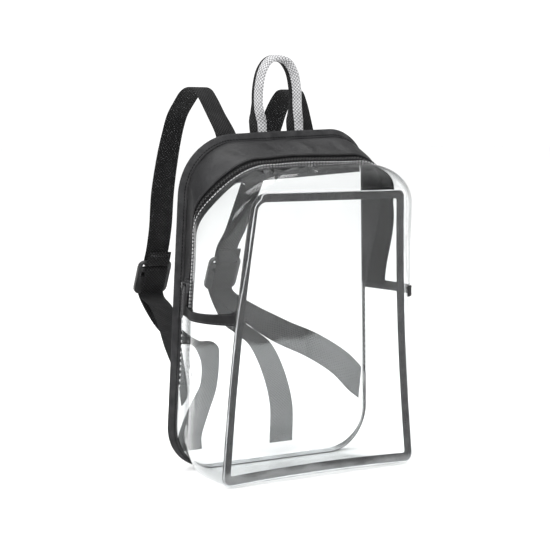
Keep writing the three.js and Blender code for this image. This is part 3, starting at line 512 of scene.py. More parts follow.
zip_cloth = cloth_look("zip_tape_cloth", (0.006, 0.006, 0.0062), (0.01, 0.01, 0.0104), 0.7, 0.7, rough=0.7,
                       shine=0.1)
thread = cloth_look("stitch_thread", (0.03, 0.03, 0.031), (0.05, 0.05, 0.052), 0.4, 0.6, rough=0.5, depth=0.05)
dark_thread = cloth_look("dark_stitch_thread", (0.003, 0.003, 0.0031), (0.006, 0.006, 0.0062), 0.4, 0.6, rough=0.6,
                         depth=0.05, shine=0.1)
# Near-white thread. On the lower side seams its stitches are painted highlights, standing in for glints on vinyl
# puckered at the stitch holes.
light_thread_and_painted_glints = cloth_look("light_stitch_thread_and_painted_glints", (0.5, 0.5, 0.51), (0.8, 0.8, 0.81), 0.4, 0.6, rough=0.5,
                          depth=0.05)
buckle_plastic = plastic_look("buckle_plastic", (0.008, 0.008, 0.0083), 0.4)
coil_plastic = plastic_look("coil_plastic", (0.006, 0.006, 0.0063), 0.3)
zip_metal = plastic_look("zip_metal", (0.02, 0.02, 0.021), 0.2, metallic=0.4)


def belongs(obj, body, slot, *nodes):
    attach(obj, body)
    if nodes:
        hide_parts(*nodes)
    return obj


# Clear sheets
UPPER = (BAND_SHARE + 0.001, 2 - BAND_SHARE - 0.001)


def gusset_grid(s, start, end, across, ease=1.0, lift=0.0):
    """Points of the gusset between two shares, raised along its normal by lift."""
    share = np.linspace(0, 1, across + 1)[None, :] ** ease
    t = start[:, None] * (1 - share) + end[:, None] * share
    base = gusset(s[:, None], t)
    normal = gusset_normal(s[:, None], t)
    return base + normal * lift, normal


def panel_grid(x, z, middle, plane, rings, ease=1.0):
    """A panel: rings of points from its rim to a middle at height middle, with their y from plane(z)."""
    share = np.linspace(0, 1, rings + 1)[None, :] ** ease
    gx = x[:, None] * (1 - share)
    gz = z[:, None] * (1 - share) + middle * share
    return np.stack([gx, plane(gz), gz], -1)


FRONT_CREASES = [
    ([(-76, -37, 246), (-70, -38, 236), (-66, -38, 200)], 4, 0.8),
    ([(60, -37, 246), (64, -38, 226)], 5, -0.7),
    ([(-92, -38, 12), (-84, -37, 40)], 5, 0.8),
    ([(88, -38, 14), (70, -37, 44)], 6, 0.7),
]
UPPER_CREASES = [
    ([(-38, -18, 276), (-41, -28, 272), (-46, -38, 266), (-53, -42, 260)], 1.9, -1.3),
    ([(-84, -6, 256), (-73, -20, 262), (-66, -34, 257)], 2.6, 1.3),
    ([(-77, -35, 256), (-88, -37, 235), (-94, -39, 215), (-98, -38, 180)], 2.0, 1.1),
    ([(-66, -10, 268), (-56, -30, 264)], 2.2, 1.0),
    ([(-8, -14, 277), (2, -38, 270)], 3.2, 0.9),
    ([(28, -12, 276), (34, -36, 268)], 2.6, -0.9),
    ([(70, -10, 270), (80, -34, 256)], 2.6, 1.2),
    ([(99, -10, 238), (90, -38, 226)], 2.4, 1.0),
    ([(105, -22, 215), (103, -24, 175)], 2.2, -1.0),
]
LOWER_CREASES = [
    ([(-106, 14, 122), (-108, 4, 104), (-109, -6, 84), (-108, -4, 60)], 2.0, 1.2),
    ([(-107, 8, 99), (-108, 0, 91)], 1.8, -1.0),
    ([(-106, 19, 52), (-104, 20, 28)], 1.8, 1.0),
    ([(-105, 6, 40), (-107, 2, 22)], 1.8, -0.9),
    ([(-92, 37, 15), (-100, 14, 12), (-104, -12, 10)], 2.6, 1.1),
    ([(109, -24, 140), (111, -20, 104), (110, -26, 62)], 2.0, -1.1),
    ([(108, -12, 96), (109, -14, 40)], 2.2, 1.0),
    ([(104, -30, 30), (98, -36, 14)], 2.4, 1.2),
]
panel_s = evenly(0, 2, 2.6, t=0.05)[:-1]
x, z = make_outline(FRONT, VINYL / 2)(panel_s)
points = panel_grid(x, z, (FRONT_BOTTOM + FRONT_TOP) / 2, front_plane, 36, ease=1.15)
rim = np.linspace(0, 1, 37)[None, :]
points[..., 1] += (waves(points, 70, 1.2) + creases(points, FRONT_CREASES)) * smooth(rim * 6)
front_panel = sheet_object("front_panel_vinyl", points, vinyl, CLEAR_THICKNESS, close_rows=True)
belongs(front_panel, "bag", "clear_vinyl", "front_panel")

s = evenly(*UPPER, 1.7)
start = gusset_share(s, SEAM_EDGE, from_back=False)
end = gusset_share(s, column(s, 1))
points, normal = gusset_grid(s, start, end, 38, ease=1.6)
inside = np.sin(np.pi * np.linspace(0, 1, 39)[None, :]) ** 0.6
points += normal * ((waves(points, 45, 1.6) + creases(points, UPPER_CREASES)) * inside)[..., None]
upper_vinyl = sheet_object("gusset_upper_vinyl", points, gusset_vinyl, CLEAR_THICKNESS)
belongs(upper_vinyl, "bag", "clear_vinyl", "gusset_upper_clear")

s = evenly(-BAND_SHARE + 0.001, BAND_SHARE - 0.001, 1.8)
start = gusset_share(s, SEAM_EDGE, from_back=False)
points, normal = gusset_grid(s, start, np.ones(len(s)), 48, ease=1.4)
inside = np.sin(np.pi * np.linspace(0, 1, 49)[None, :]) ** 0.6
standing = smooth(points[..., 2] / 12)
uneven = waves(points, 50, 2.0, 3.0) + creases(points, LOWER_CREASES)
points += normal * (uneven * inside * standing)[..., None]
lower_vinyl = sheet_object("gusset_lower_vinyl", points, gusset_vinyl, CLEAR_THICKNESS)
belongs(lower_vinyl, "bag", "clear_vinyl", "gusset_lower_clear")


def yoke_edge(x):
    return BACK_TOP - YOKE_DEPTH + YOKE_TILT * x


s = evenly(0, 2, 2.8, t=1.0)[:-1]
x, z = make_outline(BACK, SEAM_EDGE)(s)
z = np.minimum(z, yoke_edge(x) + YOKE_LAP)
share = np.linspace(0, 1, 31)[None, :]
points = panel_grid(x, z, (BACK_TOP - YOKE_DEPTH) / 2, lambda height: np.full_like(height, BACK_Y), 30)
points[..., 1] += (waves(points, 60, 1.4, 7.0) - 0.2) * smooth(share * 5)
back_panel = sheet_object("back_panel_vinyl", points, back_vinyl, CLEAR_THICKNESS, close_rows=True)
belongs(back_panel, "bag", "clear_vinyl", "back_panel")

# Black cloth, zip and tapes
CLOTH_CREASES = [
    ([(-60, 34, 292), (-48, 12, 286), (-40, 0, 282)], 4.0, 1.6),
    ([(-20, 36, 298), (-6, 16, 292), (0, 4, 286)], 4.0, -1.6),
    ([(14, 36, 298), (30, 10, 288)], 5.0, 1.5),
    ([(52, 36, 296), (60, 12, 284)], 4.0, -1.4),
    ([(-90, 32, 262), (-98, 16, 240)], 4.0, 1.4),
    ([(-97, 34, 226), (-103, 20, 196)], 3.0, -1.2),
]
s = evenly(*UPPER, 2.2)
zip_at = column(s, 1)
start = gusset_share(s, zip_at - ZIP_OPENING)
points, normal = gusset_grid(s, start, np.ones(len(s)), 20)
share = np.linspace(0, 1, 21)[None, :]
inside = np.sin(np.pi * share) ** 0.7
uneven = waves(points, 16, 1.1, 2.0) + waves(points, 34, 2.2, 4.0) + creases(points, CLOTH_CREASES)
points += normal * (uneven * inside)[..., None]
gusset_cloth = sheet_object("gusset_cloth", points, cloth, FABRIC)
belongs(gusset_cloth, "bag", "black_cloth", "gusset_fabric")

TAPE_TOP = -FABRIC / 2 - 2 * GAP
start = gusset_share(s, zip_at + ZIP_TAPE_FRONT)
end = gusset_share(s, zip_at - ZIP_OPENING - ZIP_TAPE_BACK)
points = gusset_grid(s, start, end, 8, lift=TAPE_TOP - TAPE / 2)[0]
zip_tape = sheet_object("zip_tape_cloth", points, zip_cloth, TAPE)
belongs(zip_tape, "bag", "black_cloth", "zip_tape")


def sampled(rows, walked, at):
    """Rows of three values that are known at the lengths walked, read at other lengths."""
    return np.stack([np.interp(at, walked, rows[:, k]) for k in range(3)], -1)


def along_path(points, pitch):
    """Places about pitch apart along a line of points.

    Returns the places, their tangents, how far along the line they lie, and how far the points do.
    """
    walked = lengths(points, 0)
    count = max(2, int(walked[-1] / pitch))
    at = (np.arange(count) + 0.5) * walked[-1] / count
    place = sampled(points, walked, at)
    ahead = sampled(points, walked, at + 0.3)
    return place, unit(ahead - place), at, walked


def repeat_shape(name, template, faces, place, x_axis, y_axis, z_axis, material):
    """One mesh with a copy of a small template at each place. The template is in millimetres."""
    template = np.asarray(template, float)
    copies = (
        place[:, None, :]
        + template[None, :, 0:1] * x_axis[:, None, :]
        + template[None, :, 1:2] * y_axis[:, None, :]
        + template[None, :, 2:3] * z_axis[:, None, :]
    )
    count = len(template)
    all_faces = [[v + i * count for v in face] for i in range(len(place)) for face in faces]
    uv = np.tile(template[:, :2], (len(place), 1))
    return add_object(name, copies.reshape(-1, 3), all_faces, uv, material, 80)


def lozenge(length, width, height, sides=6):
    """A small rounded bar along x: two tips and two rings."""
    points = [(-length / 2, 0, 0)]
    for x in (-length * 0.3, length * 0.3):
        for k in range(sides):
            angle = 2 * math.pi * k / sides
            points.append((x, math.cos(angle) * width / 2, math.sin(angle) * height / 2))
    points.append((length / 2, 0, 0))
    last = len(points) - 1
    faces = []
    for k in range(sides):
        n = (k + 1) % sides
        faces.append([0, 1 + n, 1 + k])
        faces.append([1 + k, 1 + n, 1 + sides + n, 1 + sides + k])
        faces.append([1 + sides + k, 1 + sides + n, last])
    return points, faces


def stitch_rows(name, rows, material, pitch=3.2, length=2.4, width=0.55, height=0.5, slot="black_tape"):
    """Rows of stitches. Each row is (points, normals) along its line."""
    place, along, out = [], [], []
    for points, normals in rows:
        p, tangent, at, walked = along_path(points, pitch)
        n = unit(sampled(normals, walked, at))
        n = unit(n - tangent * np.einsum("ij,ij->i", n, tangent)[:, None])
        place.append(p)
        along.append(tangent)
        out.append(n)
    place, along, out = (np.concatenate(x) for x in (place, along, out))
    template, faces = lozenge(length, width, height)
    obj = repeat_shape(name, template, faces, place, along, np.cross(out, along), out, material)
    return belongs(obj, "bag", slot)


# Coil: two rows of small loops that meet in the middle of the zip's opening
COIL_PITCH = 1.6
COIL_LOOP = dict(length=3.2, width=1.0, height=1.25)
COIL_RISE = 0.6
COIL_ASIDE = 0.75
COIL_SLANT = 0.25
coil_s = evenly(*UPPER, 1.0, t=0.5)
coil_t = gusset_share(coil_s, column(coil_s, 1) - ZIP_OPENING / 2)
coil_n = gusset_normal(coil_s, coil_t)
coil_line = gusset(coil_s, coil_t) + coil_n * (TAPE_TOP + GAP + COIL_RISE)
place, tangent, at, walked = along_path(coil_line, COIL_PITCH)
n = unit(sampled(coil_n, walked, at))
side = np.cross(n, tangent)
template, faces = lozenge(**COIL_LOOP)
turn = np.where(np.arange(len(place)) % 2 == 0, 1.0, -1.0)[:, None]
slanted = unit(side + tangent * COIL_SLANT * turn)
place = place + side * turn * COIL_ASIDE
coil = repeat_shape("zip_coil_loops", template, faces, place, slanted, np.cross(n, slanted), n, coil_plastic)
belongs(coil, "bag", "zip_coil", "zip_coil")


def gusset_stitches(name, row_s, distance, lift, material, slot, pitch=3.2):
    """A row of stitches along the gusset, at a distance from the back seam."""
    t_row = gusset_share(row_s, distance)
    n_row = gusset_normal(row_s, t_row)
    return stitch_rows(name, [(gusset(row_s, t_row) + n_row * lift, n_row)], material, pitch=pitch, slot=slot)


ON_CLOTH = FABRIC / 2 + STITCH_LIFT
ON_CLEAR = VINYL / 2 + STITCH_LIFT
SEAM_ROW = 1.6
cloth_row = column(coil_s, 1) - ZIP_OPENING - 2.2
clear_row = column(coil_s, 1) + 2.4
gusset_stitches("zip_cloth_stitches", coil_s, cloth_row, ON_CLOTH, thread, "black_cloth")
gusset_stitches("binding_seam_stitches", coil_s, SEAM_ROW, ON_CLOTH, dark_thread, "black_cloth", 2.3)
gusset_stitches("zip_clear_stitches", coil_s, clear_row, ON_CLEAR, light_thread_and_painted_glints, "clear_vinyl")
# These near-white stitches on the lower side seams are painted highlights: glints on vinyl puckered at the stitch
# holes.
for name, turned in (("left", 2), ("right", 0)):
    seam_s = abs(turned - np.linspace(0.33, BAND_SHARE - 0.01, 60))
    gusset_stitches(f"seam_{name}_painted_glint_stitches", seam_s, SEAM_ROW, ON_CLEAR, light_thread_and_painted_glints, "clear_vinyl", 5.0)

# Front tape, inside the front seam
s = evenly(0, 2, 2.0, t=0.05)[:-1]
outside = np.stack(make_outline(FRONT, SEAM_EDGE)(s), -1)
inner = np.stack(make_outline(FRONT, FRONT_TAPE_WIDTH)(s), -1)
share = np.linspace(0, 1, 9)[None, :, None]
flat = outside[:, None, :] * (1 - share) + inner[:, None, :] * share
lift = SEAM_EDGE + TAPE / 2
points = np.stack([flat[..., 0], front_plane(flat[..., 1]) + lift, flat[..., 1]], -1)
points[..., 1] += waves(points, 12, 0.15)
front_tape = sheet_object("front_tape_binding", points, tape, TAPE, close_rows=True)
belongs(front_tape, "bag", "black_tape", "front_tape")
rows = []
for column_index in (1, 7):
    line = points[:, column_index].copy()
    line[:, 1] -= TAPE / 2 + STITCH_LIFT
    line = np.concatenate([line, line[:1]])
    rows.append((line, np.tile([0.0, -1.0, 0.0], (len(line), 1))))
stitch_rows("front_tape_stitches", rows, thread)

# A thin roll of vinyl along the front seam, turned in over the tape on the upper left. Its whitish haze paints a
# highlight line along the seam, and the turned-in part paints the bright slit in the tape.
s = evenly(0, 2, 2.0, t=0.05)[:-1]
aside = smooth((s - 1.18) / 0.06) * smooth((1.56 - s) / 0.12)
rim_x, rim_z = make_outline(FRONT, 0.9)(s)
turned_x, turned_z = make_outline(FRONT, 4.4)(s)
roll_x = rim_x * (1 - aside) + turned_x * aside
roll_z = rim_z * (1 - aside) + turned_z * aside
roll_y = front_plane(roll_z) - 0.75
line = np.stack([roll_x, roll_y + waves(np.stack([roll_x, roll_y, roll_z], -1), 9, 0.25), roll_z], -1)
forwards = unit(np.roll(line, -1, axis=0) - np.roll(line, 1, axis=0))
outward = np.cross(forwards, [0.0, -1.0, 0.0])
angles = np.linspace(0, 2 * np.pi, 8, endpoint=False)
swelling = 0.5 + waves(line, 14, 0.25, 5.0)
loops = (
    line[:, None, :]
    + outward[:, None, :] * (np.cos(angles)[None, :, None] * swelling[:, None, None])
    + np.array([0.0, -1.0, 0.0]) * (np.sin(angles)[None, :, None] * swelling[:, None, None])
)
roll = add_object("front_seam_roll", loops.reshape(-1, 3), grid_faces(len(s), 8, True, True), None, rolled_vinyl_painted_highlight)
fix_normals(roll)
belongs(roll, "bag", "clear_vinyl")

# Side bands over the seam between the upper and the lower gusset
for name, side_sign in (("left", -1), ("right", 1)):
    middle = BAND_SHARE if side_sign > 0 else 2 - BAND_SHARE
    pair = gusset([middle + 0.02, middle - 0.02], 0.5)
    reach = 0.04 * BAND_WIDTH / 2 / np.linalg.norm(pair[0] - pair[1])
    s = np.linspace(middle - reach, middle + reach, 9)
    start = gusset_share(s, SEAM_EDGE, from_back=False)
    end = gusset_share(s, GAP)
    lift = TAPE_TOP + GAP + ZIP_COIL_HEIGHT + GAP + TAPE / 2
    points, normal = gusset_grid(s, start, end, 40, ease=1.6, lift=lift)
    band = sheet_object(f"side_band_{name}_tape", points, band_tape, TAPE)
    belongs(band, "bag", "black_tape", f"side_band_{name}")
    rows = [(points[i] + normal[i] * (TAPE / 2 + STITCH_LIFT), normal[i]) for i in (1, 7)]
    stitch_rows(f"side_band_{name}_painted_glint_stitches", rows, thread)

# Yoke on the back
s = evenly(BAND_SHARE, 2 - BAND_SHARE, 2.2, t=1.0)
x, z = make_outline(BACK, 2.0)(s)
above = z > yoke_edge(x) + 1
x, z = x[above], z[above]
share = np.linspace(0, 1, 15)[None, :]
gz = z[:, None] * (1 - share) + yoke_edge(x)[:, None] * share
gx = np.broadcast_to(x[:, None], gz.shape)
points = np.stack([gx, np.full_like(gz, BACK_Y + VINYL / 2 + GAP + FABRIC / 2), gz], -1)
yoke = sheet_object("back_yoke_cloth", points, cloth, FABRIC)
belongs(yoke, "bag", "black_cloth", "back_yoke")
rows = []
for inset in (2.0, 6.0):
    line_x = np.linspace(x.min() + 3, x.max() - 3, 80)
    line_y = np.full(80, BACK_Y + VINYL / 2 + GAP + FABRIC + STITCH_LIFT)
    line = np.stack([line_x, line_y, yoke_edge(line_x) + inset], -1)
    rows.append((line, np.tile([0.0, 1.0, 0.0], (80, 1))))
stitch_rows("yoke_stitches", rows, thread, slot="black_cloth")

# Back binding, folded over the seam
s = evenly(0, 2, 2.0, t=1.0)[:-1]
cx, cz = make_outline(BACK, 0.7)(s)
ahead, behind = back_outline(s + 0.004), back_outline(s - 0.004)
along = unit(np.stack([ahead[0] - behind[0], ahead[1] - behind[1]], -1))
flare = column(s, 2)
backwards = np.sqrt(1 - flare ** 2)
outwards = np.stack([along[:, 1], np.zeros(len(s)), -along[:, 0]], -1)
direction = outwards * flare[:, None]
direction[:, 1] += backwards
across = -outwards * backwards[:, None]
across[:, 1] += flare
root = np.stack([cx, np.full(len(s), BACK_Y), cz], -1)
SECTION = [(1.25, -0.85), (2.4, -1.1), (5.0, -1.18), (8.2, -1.15), (9.2, -0.9), (9.65, -0.45), (9.7, 0),
           (9.65, 0.45), (9.2, 0.9), (8.2, 1.15), (5.0, 1.18), (2.4, 1.1), (1.25, 0.85), (1.2, 0)]
loops = np.stack([root + direction * reach + across * amount for reach, amount in SECTION], 1)
loops += across[:, None, :] * (waves(root, 9, 0.2) * 0.4)[:, None, None]
uv_across = lengths(np.array(SECTION), 0)
uv_along = lengths(root, 0)
uv = np.stack(np.broadcast_arrays(uv_across[None, :], uv_along[:, None]), -1).reshape(-1, 2)
binding = add_object("back_binding_tape", loops.reshape(-1, 3),
                     grid_faces(len(s), len(SECTION), True, True), uv, tape, 60)
fix_normals(binding)
belongs(binding, "bag", "black_tape", "back_binding")
rows = []
for sign in (-1, 1):
    line = root + direction * 3.2 + across * (1.2 * sign)
    line = np.concatenate([line, line[:1]])
    normals = np.concatenate([across, across[:1]]) * sign
    rows.append((line, normals))
stitch_rows("binding_stitches", rows, dark_thread, pitch=3.0, width=1.0, height=0.7)


# Webbing
SPLINE_STEPS = 8


def spline(points, count):
    """Centripetal curve through points: places, tangents and indices at count even shares."""
    points = np.asarray(points, float)
    last = len(points) - 1
    place, tangent = [], []
    shares = np.linspace(0, 1, count)
    for share in shares:
        p = share * last
        i = min(int(p + 1e-9), last - 1)
        w = p - i
        p1, p2 = points[i], points[i + 1]
        p0 = points[i - 1] if i > 0 else 2 * p1 - p2
        p3 = points[i + 2] if i + 2 <= last else 2 * p2 - p1
        d0, d1, d2 = (math.sqrt(np.linalg.norm(b - a)) for a, b in ((p0, p1), (p1, p2), (p2, p3)))
        t1 = ((p1 - p0) / d0 - (p2 - p0) / (d0 + d1) + (p2 - p1) / d1) * d1
        t2 = ((p2 - p1) / d1 - (p3 - p1) / (d1 + d2) + (p3 - p2) / d2) * d1
        c2 = -3 * p1 + 3 * p2 - 2 * t1 - t2
        c3 = 2 * p1 - 2 * p2 + t1 + t2
        place.append(p1 + t1 * w + c2 * w * w + c3 * w ** 3)
        tangent.append(t1 + 2 * c2 * w + 3 * c3 * w * w)
    return np.array(place), unit(np.array(tangent)), shares * last


def between(values, index):
    """Values of a list of rows at indices with fractions."""
    low = np.minimum(index.astype(int), len(values) - 2)
    share = (index - low)[:, None]
    return values[low] * (1 - share) + values[low + 1] * share


def webbing_section(count=12):
    """Points round a flat strip: (across, thick), with rounded selvedges."""
    across = np.linspace(-1, 1, count + 1)
    half = WEBBING_THICKNESS / 2 * (1 - np.abs(across) ** 10 * 0.75)
    ridge = 1 + 0.05 * np.cos(across * math.pi * 5)
    top = np.stack([across * WEBBING / 2, half * ridge], -1)
    bottom = np.stack([across[::-1] * WEBBING / 2, -half[::-1] * ridge[::-1]], -1)
    return np.concatenate([top, bottom])


def make_webbing(name, places, widths):
    """Webbing along a list of points, with the direction across it at each."""
    place, tangent, index = spline(places, (len(places) - 1) * SPLINE_STEPS + 1)
    wide = unit(between(np.asarray(widths, float), index))
    square = wide - tangent * np.einsum("ij,ij->i", wide, tangent)[:, None]
    stretch = 1 / np.linalg.norm(square, axis=1, keepdims=True)
    normal = unit(np.cross(tangent, square))
    section = webbing_section()
    loops = (
        place[:, None, :]
        + section[None, :, 0:1] * (wide * stretch)[:, None, :]
        + section[None, :, 1:2] * normal[:, None, :]
    )
    walked = lengths(place, 0)
    uv = np.stack(np.broadcast_arrays(section[None, :, 0], walked[:, None]), -1).reshape(-1, 2)
    obj = tube_object(name, loops, webbing, uv)
    return obj, place, wide * stretch, normal


def width_direction(swing, tip=0.0):
    """The direction across webbing: along x, swung about the vertical and tipped up, in degrees."""
    a, b = math.radians(swing), math.radians(tip)
    return np.array([math.cos(a) * math.cos(b), math.sin(a) * math.cos(b), math.sin(b)])


STRAP_ASIDE = 42.0
STRAP_REACH = 160.0
STRAP_CREST = 48.0
BUCKLE_ASIDE = {-1: -41.5, 1: 39.0}
BUCKLE_HEIGHT = 160.0
BUCKLE_LENGTH = 36.0
BUCKLE_THICKNESS = 3.2
BUCKLE_SLOT = 5.6
BUCKLE_BAR = 3.0
BUCKLE_FOLD = 12.0
SLOPE = math.radians(24)
DOWN = np.array([0, math.sin(SLOPE), -math.cos(SLOPE)])
OUT = np.array([0, -math.cos(SLOPE), -math.sin(SLOPE)])
TURN = math.hypot(BUCKLE_BAR, BUCKLE_THICKNESS) / 2 + GAP + WEBBING_THICKNESS / 2
TOP_BAR = -BUCKLE_LENGTH / 2 + BUCKLE_BAR / 2
MIDDLE_BAR = TOP_BAR + BUCKLE_SLOT + BUCKLE_BAR
X_AXIS = np.array([1.0, 0, 0])


def buckle_place(side, down, out, shift=0.0):
    centre = np.array([BUCKLE_ASIDE[side] + shift, BACK_Y + STRAP_REACH, BUCKLE_HEIGHT])
    return centre + DOWN * down + OUT * out


def turn_round(side, bar, way):
    angles = [180, 150, 120, 90, 60, 30, 0] if way < 0 else [0, -30, -60, -90, -120, -150, -180]
    return [
        buckle_place(side, bar + TURN * math.sin(math.radians(a)), TURN * math.cos(math.radians(a)))
        for a in angles
    ]


# Rows of the upper straps: back, up and aside as shares of the reaches, and swing in degrees
STRAP_ROWS = {
    "left": [
        (0.043, 0.645, 1.05, 0), (0.048, 0.7, 1.05, 4), (0.085, 0.77, 1.05, 12), (0.2, 0.87, 1.05, 18),
        (0.3, 0.955, 1.05, 18), (0.36, 0.99, 1.05, 14), (0.42, 1, 1.05, 8), (0.49, 0.98, 1.05, 6),
        (0.57, 0.93, 1.05, 8), (0.66, 0.86, 1.05, 10), (0.71, 0.78, 1.06, 10), (0.76, 0.66, 1.08, 6),
        (0.83, 0.46, 1.08, 0), (0.9, 0.27, 1, 0),
    ],
    "right": [
        (0.043, 0.645, 0.92, 0), (0.048, 0.7, 0.92, 0), (0.078, 0.77, 0.92, 0), (0.112, 0.86, 0.92, 6),
        (0.15, 0.94, 0.92, 10), (0.19, 0.985, 0.92, 10), (0.24, 0.99, 0.92, 6), (0.29, 0.965, 0.92, 4),
        (0.37, 0.89, 0.92, 0), (0.44, 0.79, 0.92, 0), (0.54, 0.65, 0.92, 0), (0.66, 0.49, 0.92, 0),
        (0.76, 0.36, 0.92, 4), (0.85, 0.24, 0.92, 4),
    ],
}
# Rows of the lower straps and their tails: out, back and up as shares, and swing and tip in degrees
LOWER_ROWS = {
    "left": [
        (0.96, 0.016, 0.47, 0, -84), (0.93, 0.03, 0.49, 4, -66), (0.86, 0.15, 0.55, 8, -44),
        (0.78, 0.3, 0.63, 8, -32), (0.66, 0.5, 0.73, 8, -20), (0.54, 0.74, 0.84, 4, -6),
    ],
    "right": [
        (0.98, 0.016, 0.4, 0, 84), (0.95, 0.03, 0.42, 0, 66), (0.83, 0.1, 0.52, -4, 60),
        (0.68, 0.24, 0.61, -10, 66), (0.53, 0.46, 0.68, -20, 46), (0.42, 0.74, 0.78, -10, 14),
    ],
}
TAIL_ROWS = {
    "left": [
        (0.37, 0.86, 0.7, 0, 0), (0.33, 0.66, 0.63, 0, 0), (0.34, 0.46, 0.645, 10, 0), (0.43, 0.27, 0.6, 30, 0),
        (0.55, 0.15, 0.46, 30, 0), (0.7, 0.1, 0.32, 14, -10), (0.8, 0.085, 0.18, 4, -4), (0.8, 0.085, 0.1, 0, 0),
    ],
    "right": [
        (0.37, 0.86, 0.7, 0, 0), (0.36, 0.68, 0.65, 0, 0), (0.34, 0.5, 0.6, 0, 0), (0.31, 0.32, 0.46, 0, 0),
        (0.28, 0.2, 0.28, 0, 0), (0.22, 0.14, 0.07, 0, 0),
    ],
}
ANCHOR_HEIGHT = 62
SEAM_HALF = BACK["bottom_half"] + (BACK["top_half"] - BACK["bottom_half"]) * ANCHOR_HEIGHT / BACK_TOP
SEAT = SEAM_EDGE + WEBBING_THICKNESS / 2


def upper_strap(name, side):
    climb = BACK_TOP + STRAP_CREST - BUCKLE_HEIGHT
    places, widths = [], []
    for back, up, aside, swing in STRAP_ROWS[name]:
        places.append((side * STRAP_ASIDE * aside, BACK_Y + STRAP_REACH * back, BUCKLE_HEIGHT + climb * up))
        widths.append(width_direction(swing))
    rest = [buckle_place(side, TOP_BAR - 12, -TURN), *turn_round(side, TOP_BAR, -1)]
    rest.append(buckle_place(side, TOP_BAR - BUCKLE_FOLD / 2, TURN))
    rest.append(buckle_place(side, TOP_BAR - BUCKLE_FOLD, TURN - 0.4))
    return places + rest, widths + [X_AXIS] * len(rest)


def lower_webbing(name, side):
    def place(out, back, up):
        return (side * SEAM_HALF * out, BACK_Y + max(SEAT, STRAP_REACH * back), BUCKLE_HEIGHT * up)

    first = LOWER_ROWS[name]
    tail = TAIL_ROWS[name]
    foot = BUCKLE_LENGTH / 2
    loop = [
        buckle_place(side, foot, TURN + 1),
        buckle_place(side, foot / 2, TURN),
        *turn_round(side, MIDDLE_BAR, 1),
        buckle_place(side, foot / 2, -TURN),
        buckle_place(side, foot, -TURN),
    ]
    places = [place(*r[:3]) for r in first] + loop + [place(*r[:3]) for r in tail]
    widths = [width_direction(*r[3:]) for r in first] + [X_AXIS] * len(loop)
    widths += [width_direction(*r[3:]) for r in tail]
    return places, widths


def cross_stitches(name, centre, wide, normal, shares):
    """Rows of stitches across webbing, on both of its faces, at shares of its length."""
    rows = []
    for share in shares:
        i = int(share * (len(centre) - 1))
        across = np.linspace(-0.42, 0.42, 12)[:, None] * WEBBING * wide[i]
        for face in (-1, 1):
            line = centre[i] + across + normal[i] * face * (WEBBING_THICKNESS / 2 + 0.05)
            rows.append((line, np.tile(normal[i] * face, (12, 1))))
    return stitch_rows(name, rows, thread, pitch=2.6, length=2.0, slot="black_webbing")


for name, side_sign in (("left", -1), ("right", 1)):
    places, widths = upper_strap(name, side_sign)
    strap, centre, wide, normal = make_webbing(f"strap_upper_{name}_webbing", places, widths)
    belongs(strap, "bag", "black_webbing", f"strap_upper_{name}")
    cross_stitches(f"strap_upper_{name}_painted_glint_stitches", centre, wide, normal, (0.02, 0.04, 0.975, 0.985))
    places, widths = lower_webbing(name, side_sign)
    lower, centre, wide, normal = make_webbing(f"strap_lower_{name}_webbing", places, widths)
    belongs(lower, "bag", "black_webbing", f"strap_lower_{name}")
    cross_stitches(f"strap_lower_{name}_painted_glint_stitches", centre, wide, normal, (0.02, 0.035, 0.965, 0.975))

# Handle: two halves of one webbing, flat where it is sewn and folded over the arch
HANDLE_SEAM = 1.2
HANDLE_SHIFT = 6.5
HANDLE_APART = 20
HANDLE_RISE = 75
HANDLE_TURN = {-1: 78, 1: 62}
HANDLE_FLAT_WIDTH, HANDLE_FOLD_WIDTH = 17.5, 12.4
HANDLE_FLAT_THICKNESS, HANDLE_FOLD_THICKNESS = 3, 6.2
HANDLE_CREST = (0, 1, 8.6, 1)
# Rows from a foot to the arch: out and rise as shares, back in millimetres, and fold from 0 to 1
HANDLE_ROWS = [
    (1, -0.2, 3.8, 0), (1, -0.07, 4.2, 0), (1, 0.1, 7.4, 0), (1, 0.21, 8.4, 0.1), (1.02, 0.33, 8.6, 0.75),
    (1.03, 0.45, 8.6, 1), (1, 0.64, 8.6, 1), (0.8, 0.85, 8.6, 1), (0.44, 0.97, 8.6, 1),
]


